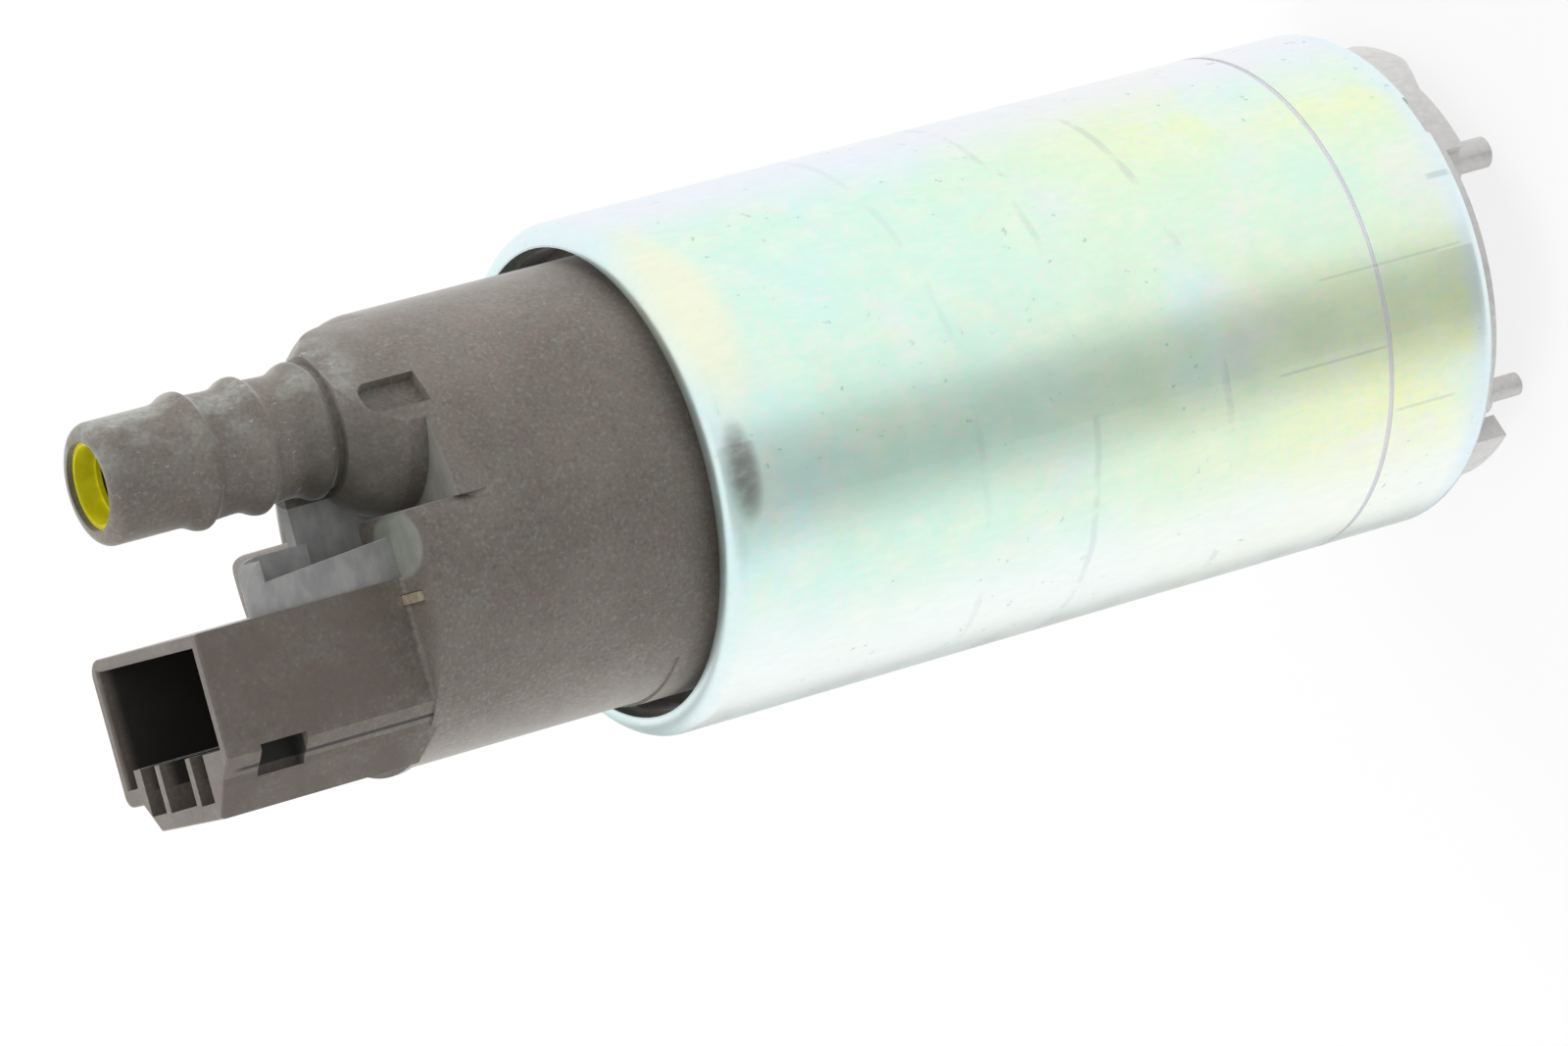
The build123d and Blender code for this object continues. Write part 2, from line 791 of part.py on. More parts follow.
with BuildPart() as socket:
    with BuildSketch(Plane.XY.offset(cap_front)):
        with BuildLine():
            Polyline(
                (socket_left, socket_top),
                (socket_right, socket_top),
                (socket_right, -cap_radius),
                (socket_left, -cap_radius),
                (socket_left, socket_top),
            )
        make_face()
        Circle(cap_radius - groove_depth, mode=Mode.INTERSECT)
        with Locations((0, socket_wall_bottom)):
            Rectangle(
                cap_radius * 2,
                cap_radius,
                align=(Align.CENTER, Align.MAX),
                mode=Mode.SUBTRACT,
            )
    extrude(amount=socket_mouth - cap_front)
    left_edges = socket.edges().filter_by(Axis.Z).group_by(Axis.X)[0]
    fillet(left_edges.sort_by(Axis.Y)[-1], socket_corner_round)
    fillet(left_edges.sort_by(Axis.Y)[0], socket_lower_round)
    with BuildSketch(Plane.XY.offset(socket_mouth)):
        with BuildLine():
            Polyline(
                (lip_left, socket_inner_bottom),
                (socket_right - socket_side_wall, socket_inner_bottom),
                (cap_radius * math.cos(math.radians(groove_end_angle)),
                 cap_radius * math.sin(math.radians(groove_end_angle))),
                (rib_places[-1], lip_bottom),
                (lip_left + socket_side_wall, lip_bottom),
                (lip_left - rib_width, socket_wall_bottom),
                (lip_left, socket_inner_bottom),
            )
        make_face()
    extrude(amount=-(socket_length + lip_overrun))
    with BuildSketch(Plane.XZ.offset(-lip_bottom)):
        Polygon(
            (socket_left, step_front - lip_overrun),
            (socket_left, socket_mouth - lip_length),
            (lip_left, socket_mouth - lip_length),
            (lip_slant_x, socket_mouth - lip_slant_length),
            (cap_radius * math.cos(math.radians(groove_end_angle)), step_front - lip_overrun),
            align=None,
        )
    extrude(amount=lip_bottom - socket_wall_bottom, mode=Mode.SUBTRACT)

# Tower beside the outlet, with a channel that is open at its top
tower_top = step_front + tower_length
with BuildPart() as tower:
    with BuildSketch(Plane.YZ.offset(tower_left)):
        with BuildLine():
            Polyline(
                (socket_top - socket_top_wall, step_front),
                (socket_top - socket_top_wall, tower_top),
                (tower_far_top - tower_far_round, tower_top),
            )
            RadiusArc(
                (tower_far_top - tower_far_round, tower_top),
                (tower_far_top, tower_top - tower_far_round),
                tower_far_round,
            )
            Polyline(
                (tower_far_top, tower_top - tower_far_round),
                (tower_far_top, step_front),
                (socket_top - socket_top_wall, step_front),
            )
        make_face()
    extrude(amount=tower_right - tower_left)
    with BuildSketch(Plane.XZ.offset(-tower_far_top)):
        with BuildLine():
            Polyline(
                (tower_left, step_front),
                (tower_left, tower_top - tower_back_round),
            )
            RadiusArc(
                (tower_left, tower_top - tower_back_round),
                (tower_left + tower_back_round, tower_top),
                tower_back_round,
            )
            Line(
                (tower_left + tower_back_round, tower_top),
                (tower_right - tower_near_round, tower_top),
            )
            RadiusArc(
                (tower_right - tower_near_round, tower_top),
                (tower_right, tower_top - tower_near_round),
                tower_near_round,
            )
            Polyline(
                (tower_right, tower_top - tower_near_round),
                (tower_right, step_front),
                (tower_left, step_front),
            )
        make_face()
    extrude(amount=tower_far_top - socket_top + socket_top_wall, mode=Mode.INTERSECT)
    channel_mouth = tower_top - tower_end_wall
    with BuildSketch(Plane.XY.offset(channel_mouth)):
        with Locations((tower_right - tower_wall, tower_channel_floor)):
            Rectangle(
                tower_channel_width,
                tower_far_top - tower_channel_floor,
                align=(Align.MAX, Align.MIN),
            )
    extrude(amount=-(channel_mouth - step_front), mode=Mode.SUBTRACT)
    with BuildSketch(Plane.YZ.offset(tower_right - tower_wall)):
        Polygon(
            (tower_near_top, step_front),
            (tower_far_top, step_front),
            (tower_far_top, channel_mouth),
            (tower_near_top - tower_near_slope, channel_mouth),
            align=None,
        )
    extrude(amount=tower_wall, mode=Mode.SUBTRACT)
    with BuildSketch(Plane.XY.offset(tower_top - tower_far_length)):
        with Locations((tower_left, tower_channel_floor)):
            Rectangle(
                tower_wall,
                tower_far_top - tower_channel_floor,
                align=(Align.MIN, Align.MIN),
            )
    extrude(amount=-(tower_length - tower_far_length), mode=Mode.SUBTRACT)

with BuildPart() as end_cap:
    with BuildSketch(Plane.XZ):
        with BuildLine():
            Polyline(
                (stack_radius - cap_skirt_wall, magnet_top),
                (stack_radius, magnet_top),
                (stack_radius, stack_top),
                (cap_moat_radius, stack_top),
                (cap_moat_radius, stack_top - cap_moat_depth),
                (cap_radius, stack_top - cap_moat_depth),
                (cap_radius, cap_front - cap_front_round),
            )
            RadiusArc(
                (cap_radius, cap_front - cap_front_round),
                (cap_radius - cap_front_round, cap_front),
                -cap_front_round,
            )
            Polyline(
                (cap_radius - cap_front_round, cap_front),
                (0, cap_front),
                (0, cavity_top),
                (cavity_radius, cavity_top),
                (cavity_radius, stack_top - cap_moat_depth - cap_skirt_wall),
                (stack_radius - cap_skirt_wall, stack_top - cap_skirt_step),
                (stack_radius - cap_skirt_wall, magnet_top),
            )
        make_face()
    revolve(axis=Axis.Z)
    # Crisp stretch of the rim, from the step to the boss
    with BuildSketch(Plane.XY.offset(cap_front - cap_front_round)):
        Circle(cap_radius)
        with Locations((outlet_x, step_edge_y)):
            Rectangle(
                cap_radius,
                cap_radius,
                align=(Align.MIN, Align.MIN),
                mode=Mode.INTERSECT,
            )
    extrude(amount=cap_front_round)
    add(step.part)
    add(boss.part)
    # Outlet pipe with soft barbs
    with BuildSketch(pipe_plane):
        with BuildLine():
            Line((0, collar_top - barb_drop), (0, outlet_tip))
            Line((0, outlet_tip), (outlet_nose_radius - outlet_nose_round, outlet_tip))
            RadiusArc(
                (outlet_nose_radius - outlet_nose_round, outlet_tip),
                (outlet_nose_radius, outlet_tip - outlet_nose_round),
                outlet_nose_round,
            )
            barb_end = (outlet_nose_radius, outlet_tip - outlet_nose_round)
            for barb in range(barb_count):
                crest = outlet_tip - barb_first - barb * barb_pitch
                Line(barb_end, (outlet_nose_radius, crest + barb_rise))
                Spline(
                    (outlet_nose_radius, crest + barb_rise),
                    (barb_radius, crest),
                    (outlet_neck_radius, crest - barb_drop),
                    tangents=[(0, -1), (0, -1), (0, -1)],
                )
                barb_end = (outlet_neck_radius, crest - barb_drop)
            Line(barb_end, (outlet_neck_radius, collar_top - barb_drop))
            Line(
                (outlet_neck_radius, collar_top - barb_drop),
                (0, collar_top - barb_drop),
            )
        make_face()
    revolve(axis=pipe_axis)
    add(socket.part)
    add(tower.part)
    # Web between the outlet and the tower
    with BuildSketch(Plane.XY.offset(step_front)):
        with BuildLine():
            Polyline(
                (web_left, socket_top - socket_top_wall),
                (tower_left + tower_wall, socket_top - socket_top_wall),
                (tower_left + tower_wall, tower_channel_floor),
                (web_right, tower_channel_floor),
                (web_right, outlet_y),
                (web_left, outlet_y),
                (web_left, socket_top - socket_top_wall),
            )
        make_face()
    extrude(amount=web_length - step_height)
    with BuildSketch(Plane.XY.offset(cap_front)):
        with Locations(((web_left + web_right) / 2, outlet_y / 2)):
            Rectangle(web_right - web_left, outlet_y)
    extrude(amount=web_length)
    # Socket cavity, key ways between ribs and latch window
    with BuildSketch(Plane.XY.offset(socket_mouth)):
        with Locations((socket_left + socket_side_wall, socket_top - socket_top_wall)):
            Rectangle(
                socket_right - socket_left - 2 * socket_side_wall,
                socket_top - socket_top_wall - lip_shelf,
                align=(Align.MIN, Align.MAX),
            )
        with Locations((socket_left + socket_side_wall, lip_shelf)):
            Rectangle(
                lip_left - rib_width - socket_left - socket_side_wall,
                lip_shelf - socket_inner_bottom,
                align=(Align.MIN, Align.MAX),
            )
    extrude(amount=-(socket_mouth - socket_bed), mode=Mode.SUBTRACT)
    with BuildSketch(Plane.XY.offset(socket_mouth)):
        for rib_start, rib_stop in zip(rib_places[:-1], rib_places[1:]):
            with Locations((rib_start + rib_width / 2, lip_shelf)):
                Rectangle(
                    rib_stop - rib_start - rib_width,
                    lip_shelf - lip_bottom - lip_wall,
                    align=(Align.MIN, Align.MAX),
                )
    extrude(amount=-(lip_length - lip_wall), mode=Mode.SUBTRACT)
    with BuildSketch(Plane.XY.offset(socket_mouth - window_mouth_gap)):
        with Locations((cap_radius, window_top)):
            Rectangle(
                cap_radius - rib_places[-1] - rib_width,
                window_top - window_bottom,
                align=(Align.MAX, Align.MAX),
            )
    extrude(amount=-window_length, mode=Mode.SUBTRACT)
    # Softened edges round the socket's mouth and at the foot of its flat side
    mouth_range = (socket_mouth - seat_gap, socket_mouth + seat_gap)
    mouth_face = faces().filter_by_position(Axis.Z, *mouth_range).sort_by(SortBy.AREA)[-1]
    wall_edges = mouth_face.inner_wires()[0].edges().sort_by(SortBy.LENGTH)[-3:]
    fillet(mouth_face.outer_wire().edges() + wall_edges, socket_rim_round)
    foot_edges = (
        edges()
        .filter_by(Axis.Y)
        .filter_by_position(Axis.X, socket_right - seat_gap, socket_right + seat_gap)
        .filter_by_position(Axis.Z, step_front - seat_gap, step_front + seat_gap)
    )
    fillet(foot_edges.sort_by(SortBy.LENGTH)[-1], socket_foot_fillet)
    # Side pocket of the outlet boss
    pocket_plane = Plane(
        origin=(
            cap_radius * math.cos(math.radians(pocket_angle)),
            cap_radius * math.sin(math.radians(pocket_angle)),
            cap_front - pocket_start + pocket_length / 2,
        ),
        x_dir=(0, 0, 1),
        z_dir=(
            math.cos(math.radians(pocket_angle)),
            math.sin(math.radians(pocket_angle)),
            0,
        ),
    )
    with BuildSketch(pocket_plane):
        Rectangle(pocket_length, pocket_width)
        fillet(vertices().group_by(Axis.X)[-1], pocket_round)
    extrude(amount=-pocket_depth, mode=Mode.SUBTRACT)
    # Shallow groove along the underside
    with BuildSketch(Plane.XY.offset(stack_top + groove_tail)):
        with BuildLine():
            groove_span = groove_end_angle - groove_start_angle
            outer_arc = CenterArc((0, 0), stack_radius, groove_start_angle, groove_span)
            inner_arc = CenterArc(
                (0, 0), cap_radius - groove_depth, groove_start_angle, groove_span
            )
            Line(outer_arc @ 0, inner_arc @ 0)
            Line(outer_arc @ 1, inner_arc @ 1)
        make_face()
    extrude(amount=step_front - lip_overrun - stack_top - groove_tail, mode=Mode.SUBTRACT)
    # Hub for the upper bearing and the two brush guides, hung from the roof
    guide_width = brush_width + 2 * (slide_gap + guide_wall)
    guide_breadth = brush_breadth + 2 * (slide_gap + guide_wall)
    with BuildSketch(Plane.XY.offset(hub_foot)):
        Circle(hub_radius)
    extrude(amount=cavity_top - hub_foot)
    with BuildSketch(Plane.XY.offset(guide_foot)):
        with Locations(*[(x, 0) for x in brush_places.values()]):
            Rectangle(guide_width, guide_breadth)
        Circle(shaft_radius + moving_gap, mode=Mode.SUBTRACT)
    extrude(amount=cavity_top - guide_foot)
    with BuildSketch(Plane.XY.offset(stack_top)):
        Rectangle(2 * cavity_radius + cap_wall, guide_web_thickness)
    extrude(amount=cavity_top - stack_top)
    with BuildSketch(Plane.XY.offset(commutator_top)):
        with Locations(*[(x, 0) for x in brush_places.values()]):
            Rectangle(brush_width + 2 * slide_gap, brush_breadth + 2 * slide_gap)
    extrude(amount=well_top - commutator_top, mode=Mode.SUBTRACT)
    with BuildSketch(Plane.XY.offset(hub_foot)):
        Circle(bearing_radius + press_gap)
    extrude(amount=bearing_length, mode=Mode.SUBTRACT)
    with BuildSketch(Plane.XY.offset(upper_bearing_top)):
        Circle(bearing_shoulder_radius)
    extrude(amount=shaft_overrun + hub_tip_gap, mode=Mode.SUBTRACT)
    # Fuel way and valve seat in the outlet
    with BuildSketch(pipe_plane):
        with BuildLine():
            Polyline(
                (0, cavity_top),
                (valve_seat_radius, cavity_top),
                (valve_seat_radius, valve_seat_top),
                (outlet_bore_radius, valve_seat_top),
                (outlet_bore_radius, cage_ring_foot - seat_gap),
                (outlet_mouth_radius, cage_ring_foot - seat_gap),
                (outlet_mouth_radius, outlet_tip),
                (0, outlet_tip),
                (0, cavity_top),
            )
        make_face()
    revolve(axis=pipe_axis, mode=Mode.SUBTRACT)
    # Ways for the terminals, the choke cores and the lead strip
    with BuildSketch(Plane.XY.offset(cavity_top)):
        with Locations(*[(x, terminal_y) for x in terminal_places.values()]):
            Rectangle(
                terminal_width + 2 * seat_gap,
                terminal_thickness + 2 * seat_gap,
            )
    extrude(amount=socket_mouth - cavity_top, mode=Mode.SUBTRACT)
    with BuildSketch(Plane.XY.offset(cavity_top)):
        with Locations(*[(x, choke_y) for x in terminal_places.values()]):
            Circle(choke_core_radius + seat_gap)
    extrude(amount=choke_core_pocket, mode=Mode.SUBTRACT)
    with BuildSketch(Plane.XY.offset(step_front - strip_thickness + strip_proud - seat_gap)):
        with Locations(((strip_inner_x + strip_outer_x) / 2, strip_y)):
            Rectangle(
                strip_outer_x - strip_inner_x + 2 * seat_gap,
                strip_width + 2 * seat_gap,
            )
    extrude(amount=strip_thickness + 2 * seat_gap, mode=Mode.SUBTRACT)
end_cap.part.label = "end_cap"
export_step(end_cap.part, "parts/end_cap.step")

# Check valve: cage, piston and spring on the outlet's axis
with BuildPart() as valve_cage:
    with BuildSketch(Plane.XY.offset(cage_ring_foot)):
        with Locations((outlet_x, outlet_y)):
            Circle(outlet_mouth_radius - press_gap)
            Circle(outlet_mouth_radius - cage_ring_wall, mode=Mode.SUBTRACT)
    extrude(amount=cage_ring_length)
    with BuildSketch(Plane.XY.offset(cage_guide_foot)):
        with Locations((outlet_x, outlet_y)):
            Circle(outlet_bore_radius - press_gap)
            Circle(outlet_bore_radius - cage_leg_wall, mode=Mode.SUBTRACT)
            Circle(valve_stem_radius + slide_gap + cage_guide_wall)
        with Locations(Location((outlet_x, outlet_y))):
            with PolarLocations(0, 3):
                Rectangle(
                    outlet_bore_radius - cage_leg_wall / 2,
                    cage_guide_wall,
                    align=(Align.MIN, Align.CENTER),
                )
            Circle(valve_stem_radius + slide_gap, mode=Mode.SUBTRACT)
    extrude(amount=cage_guide_height)
    with BuildSketch(Plane.XY.offset(cage_guide_foot)):
        with Locations(Location((outlet_x, outlet_y))):
            with PolarLocations(0, 3):
                Rectangle(
                    outlet_bore_radius,
                    cage_leg_width,
                    align=(Align.MIN, Align.CENTER),
                )
            Circle(outlet_bore_radius - press_gap, mode=Mode.INTERSECT)
            Circle(outlet_bore_radius - cage_leg_wall, mode=Mode.SUBTRACT)
    extrude(amount=cage_ring_foot - cage_guide_foot)
    with BuildSketch(Plane.XY.offset(cage_ring_foot)):
        with Locations((outlet_x, outlet_y)):
            Circle(outlet_bore_radius - press_gap)
            Circle(outlet_bore_radius - cage_leg_wall, mode=Mode.SUBTRACT)
    extrude(amount=cage_leg_wall)
valve_cage.part.label = "valve_cage"
export_step(valve_cage.part, "parts/valve_cage.step")

with BuildPart() as valve_piston:
    with BuildSketch(pipe_plane):
        with BuildLine():
            Polyline(
                (0, valve_head_foot - valve_nose_length),
                (valve_nose_radius / 2, valve_head_foot - valve_nose_length),
                (valve_nose_radius, valve_head_foot),
                (valve_head_radius, valve_head_foot),
                (valve_head_radius, valve_head_top),
                (valve_stem_radius, valve_head_top),
                (valve_stem_radius, valve_head_top + valve_stem_length),
                (0, valve_head_top + valve_stem_length),
                (0, valve_head_foot - valve_nose_length),
            )
        make_face()
    revolve(axis=pipe_axis)
valve_piston.part.label = "valve_piston"
export_step(valve_piston.part, "parts/valve_piston.step")

valve_spring = coil(
    valve_spring_radius,
    valve_spring_wire,
    valve_head_top,
    cage_guide_foot,
    valve_spring_turns,
    (outlet_x, outlet_y),
)
valve_spring.part.label = "valve_spring"
export_step(valve_spring.part, "parts/valve_spring.step")

# Brushes, their springs, the terminals and the chokes, one of each a side
for side in ("positive", "negative"):
    brush_x = brush_places[side]
    terminal_x = terminal_places[side]
    with BuildPart() as brush:
        with BuildSketch(Plane.XY.offset(brush_foot)):
            with Locations((brush_x, 0)):
                Rectangle(brush_width, brush_breadth)
        extrude(amount=brush_length)
    brush.part.label = f"brush_{side}"
    export_step(brush.part, f"parts/brush_{side}.step")

    brush_spring = coil(
        brush_spring_radius,
        brush_spring_wire,
        brush_top,
        well_top,
        brush_spring_turns,
        (brush_x, 0),
    )
    brush_spring.part.label = f"brush_spring_{side}"
    export_step(brush_spring.part, f"parts/brush_spring_{side}.step")

    with BuildPart() as terminal:
        with BuildSketch(Plane.XY.offset(terminal_foot)):
            with Locations((terminal_x, terminal_y)):
                Rectangle(terminal_width, terminal_thickness)
        extrude(amount=terminal_tip - terminal_foot)
        chamfer(terminal.edges().group_by(Axis.Z)[-1], terminal_tip_bevel)
    terminal.part.label = f"terminal_{side}"
    export_step(terminal.part, f"parts/terminal_{side}.step")

    core_end = cavity_top + choke_core_pocket
    with BuildPart() as choke_core:
        with BuildSketch(Plane.XY.offset(core_end - choke_core_length)):
            with Locations((terminal_x, choke_y)):
                Circle(choke_core_radius)
        extrude(amount=choke_core_length)
    choke_core.part.label = f"choke_core_{side}"
    export_step(choke_core.part, f"parts/choke_core_{side}.step")

    coil_plane = Plane(origin=(terminal_x, choke_y, 0), x_dir=(1, 0, 0), z_dir=(0, -1, 0))
    coil_axis = Axis((terminal_x, choke_y, 0), (0, 0, 1))
    coil_foot = core_end - choke_core_length + choke_coil_pitch
    wire_radius = choke_coil_pitch / 2
    with BuildPart() as choke_coil:
        with BuildSketch(coil_plane):
            with Locations((choke_core_radius + press_gap, coil_foot)):
                Rectangle(
                    choke_coil_radius - choke_core_radius - wire_radius,
                    choke_coil_turns * choke_coil_pitch,
                    align=(Align.MIN, Align.MIN),
                )
            for turn in range(choke_coil_turns):
                turn_height = coil_foot + (turn + 0.5) * choke_coil_pitch
                with Locations((choke_coil_radius - wire_radius, turn_height)):
                    RegularPolygon(wire_radius, 6)
        revolve(axis=coil_axis)
    choke_coil.part.label = f"choke_coil_{side}"
    export_step(choke_coil.part, f"parts/choke_coil_{side}.step")

# Brass lead strip that shows beside the socket
with BuildPart() as lead_strip:
    with BuildSketch(Plane.XY.offset(step_front - strip_thickness + strip_proud)):
        with Locations(((strip_inner_x + strip_outer_x) / 2, strip_y)):
            Rectangle(strip_outer_x - strip_inner_x, strip_width)
    extrude(amount=strip_thickness)
lead_strip.part.label = "lead_strip"
export_step(lead_strip.part, "parts/lead_strip.step")
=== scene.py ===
# %% [markdown]
# An electric fuel pump: a zinc-plated steel tube with a moulded end cap on one end and a cast
# suction cover on the other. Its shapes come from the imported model, which stands on the suction
# end with Z along the motor's axis. This file gives every surface its finish and adds the small
# marks that the model leaves out. First the model is loaded, and its box is kept.

# %% Load the pump
import bpy
import math
from mathutils import Matrix, Vector


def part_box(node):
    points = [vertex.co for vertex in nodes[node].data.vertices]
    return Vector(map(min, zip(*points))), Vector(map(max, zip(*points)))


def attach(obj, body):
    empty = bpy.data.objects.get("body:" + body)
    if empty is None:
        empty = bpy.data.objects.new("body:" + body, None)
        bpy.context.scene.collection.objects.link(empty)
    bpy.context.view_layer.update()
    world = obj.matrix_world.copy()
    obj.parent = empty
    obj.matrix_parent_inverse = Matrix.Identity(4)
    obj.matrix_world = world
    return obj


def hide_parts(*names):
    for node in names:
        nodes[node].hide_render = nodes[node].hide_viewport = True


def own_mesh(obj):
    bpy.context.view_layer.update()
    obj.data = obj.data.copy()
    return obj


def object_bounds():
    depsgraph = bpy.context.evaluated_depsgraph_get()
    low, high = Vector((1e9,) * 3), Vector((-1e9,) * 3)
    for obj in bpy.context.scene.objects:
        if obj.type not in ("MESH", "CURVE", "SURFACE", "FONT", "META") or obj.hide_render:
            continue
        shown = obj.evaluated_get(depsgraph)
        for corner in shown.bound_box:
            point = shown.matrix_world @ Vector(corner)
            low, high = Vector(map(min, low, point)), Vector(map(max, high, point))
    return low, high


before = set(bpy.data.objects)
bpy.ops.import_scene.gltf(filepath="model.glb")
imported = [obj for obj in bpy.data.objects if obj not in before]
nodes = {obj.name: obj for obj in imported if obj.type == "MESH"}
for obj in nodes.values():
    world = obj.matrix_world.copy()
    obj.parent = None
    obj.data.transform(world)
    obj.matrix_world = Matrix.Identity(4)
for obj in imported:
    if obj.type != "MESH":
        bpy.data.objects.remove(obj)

cad_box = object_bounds()
bpy.ops.object.select_all(action="DESELECT")
print("pieces in the frame:", len(nodes))

# %% [markdown]
# The places that the finishes need are read from the pieces themselves: the tube's radius and
# its two ends, and the outlet's axis and tip. Blender works in metres, so a millimetre gets a
# name.

# %% Places on the pump
mm = 0.001
tube_low, tube_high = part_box("housing")
tube_radius = tube_high.x
cage_low, cage_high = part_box("valve_cage")
pump_middle = Vector((0, 0, (cad_box[0].z + cad_box[1].z) / 2))
outlet_x = (cage_low.x + cage_high.x) / 2
outlet_y = (cage_low.y + cage_high.y) / 2
outlet_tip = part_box("end_cap")[1].z
cap_front = outlet_tip - 25.5 * mm
step_front = cap_front + 3.8 * mm
socket_mouth = step_front + 18.3 * mm
print("tube radius, mm:", round(tube_radius / mm, 2), "outlet tip at", round(outlet_tip / mm, 1))

# %% [markdown]
# The camera looks down on the outlet end from the connector's side, and is rolled so that the
# pump lies across the picture. A long lens keeps the near end from swelling. The camera could be
# turned by three angles, but a point to look at and a roll say the same thing more plainly.

# %% Camera
camera_place = Vector((530.0, 0.0, 354.0)) * mm
camera_aim = Vector((2.67, -7.24, 67.9)) * mm
camera_roll = math.radians(-105.69)
camera_data = bpy.data.cameras.new("camera")
camera_data.lens = 168.75
camera_data.sensor_width = 36
camera_data.clip_start = 10 * mm
camera = bpy.data.objects.new("camera", camera_data)
bpy.context.scene.collection.objects.link(camera)
camera.rotation_mode = "QUATERNION"
view_line = (camera_aim - camera_place).normalized()
level = view_line.to_track_quat("-Z", "Y")
camera.rotation_quaternion = level @ Matrix.Rotation(camera_roll, 3, "Z").to_quaternion()
camera.location = camera_place
bpy.context.scene.camera = camera
bpy.context.scene.view_settings.view_transform = "Standard"
picture_right = camera.rotation_quaternion @ Vector((1, 0, 0))
picture_up = camera.rotation_quaternion @ Vector((0, 1, 0))
picture_back = -view_line
print("camera to pump, mm:", round((camera_aim - camera_place).length / mm))

# %% [markdown]
# The light is a white tent. Soft panels stand above and below the pump as the camera sees it and
# a little behind it, so its flanks are paler than its front. A third lights the outlet end, and
# a pale sky fills what is between them. Each stands clear of the floor. Panels could show as
# hard bright shapes in the plated tube, so they are hidden from reflections, and the tube
# mirrors the even white around it instead.

# %% Soft panels
def soft_panel(name, direction, size, power, distance=0.65):
    """An area lamp that looks at the pump's middle and shows in no reflection."""
    data = bpy.data.lights.new(name, "AREA")
    data.shape = "DISK"
    data.size = size
    data.energy = power
    lamp = bpy.data.objects.new(name, data)
    bpy.context.scene.collection.objects.link(lamp)
    towards = direction.normalized()
    lamp.location = pump_middle + towards * distance
    lamp.rotation_mode = "QUATERNION"
    lamp.rotation_quaternion = towards.to_track_quat("Z", "Y")
    lamp.visible_glossy = False
    lamp.visible_camera = False


soft_panel("panel_above", picture_up * 1.0 - picture_back * 0.25 - picture_right * 0.65, 0.40, 2.4)
soft_panel("panel_below", -picture_up * 1.0 - picture_back * 0.40 - picture_right * 0.35, 0.40, 3.4)
soft_panel("panel_front", picture_back * 1.0 - picture_right * 1.2 + picture_up * 0.2, 0.50, 1.0)

# %% [markdown]
# The sky has two strengths. The camera, mirrors and glass see plain white, which is the
# background of the picture. Matt surfaces get less, so that the panels still shape them.

# %% Sky
sky_for_matt = 0.62
world = bpy.data.worlds.new("tent")
bpy.context.scene.world = world
world.use_nodes = True
world_tree = world.node_tree
world_tree.nodes.clear()
sky_out = world_tree.nodes.new("ShaderNodeOutputWorld")
sky_seen = world_tree.nodes.new("ShaderNodeBackground")
sky_seen.inputs["Color"].default_value = (1, 1, 1, 1)
sky_seen.inputs["Strength"].default_value = 1.0
sky_light = world_tree.nodes.new("ShaderNodeBackground")
sky_light.inputs["Color"].default_value = (1, 1, 1, 1)
sky_light.inputs["Strength"].default_value = sky_for_matt
sky_rays = world_tree.nodes.new("ShaderNodeLightPath")
seen = world_tree.nodes.new("ShaderNodeMath")
seen.operation = "MAXIMUM"
mirrored = world_tree.nodes.new("ShaderNodeMath")
mirrored.operation = "MAXIMUM"
sky_mix = world_tree.nodes.new("ShaderNodeMixShader")
world_tree.links.new(sky_rays.outputs["Is Glossy Ray"], mirrored.inputs[0])
world_tree.links.new(sky_rays.outputs["Is Transmission Ray"], mirrored.inputs[1])
world_tree.links.new(sky_rays.outputs["Is Camera Ray"], seen.inputs[0])
world_tree.links.new(mirrored.outputs[0], seen.inputs[1])
world_tree.links.new(seen.outputs[0], sky_mix.inputs[0])
world_tree.links.new(sky_light.outputs[0], sky_mix.inputs[1])
world_tree.links.new(sky_seen.outputs[0], sky_mix.inputs[2])
world_tree.links.new(sky_mix.outputs[0], sky_out.inputs["Surface"])
print("sky strength for matt surfaces:", sky_for_matt)

# %% [markdown]
# Finishes are built from nodes. A few short helpers keep that readable: they add a node and set
# its sockets by name, start a material with its main shader, and do small sums.

# %% Helpers to start a material
def add_node(tree, kind, **sockets):
    """A node of that kind, with the named sockets set."""
    node = tree.nodes.new("ShaderNode" + kind)
    for socket, value in sockets.items():
        node.inputs[socket.replace("_", " ")].default_value = value
    return node


def new_material(name, colour, metallic, roughness):
    """A material with one main shader. Returns the material, its tree and the shader."""
    material = bpy.data.materials.new(name)
    material.use_nodes = True
    tree = material.node_tree
    tree.nodes.clear()
    output = tree.nodes.new("ShaderNodeOutputMaterial")
    shader = tree.nodes.new("ShaderNodeBsdfPrincipled")
    shader.inputs["Base Color"].default_value = (*colour, 1)
    shader.inputs["Metallic"].default_value = metallic
    shader.inputs["Roughness"].default_value = roughness
    tree.links.new(shader.outputs["BSDF"], output.inputs["Surface"])
    material.diffuse_color = (*colour, 1)
    return material, tree, shader


def object_place(tree):
    """The place on the object, in metres: the whole place, and its X, Y and Z apart."""
    place = tree.nodes.new("ShaderNodeTexCoord").outputs["Object"]
    apart = tree.nodes.new("ShaderNodeSeparateXYZ")
    tree.links.new(place, apart.inputs[0])
    return place, apart.outputs["X"], apart.outputs["Y"], apart.outputs["Z"]


def dress(names, material):
    """Gives that material to the CAD nodes of those names."""
    for name in names:
        mesh = nodes[name].data
        mesh.materials.clear()
        mesh.materials.append(material)


print("material helpers ready")

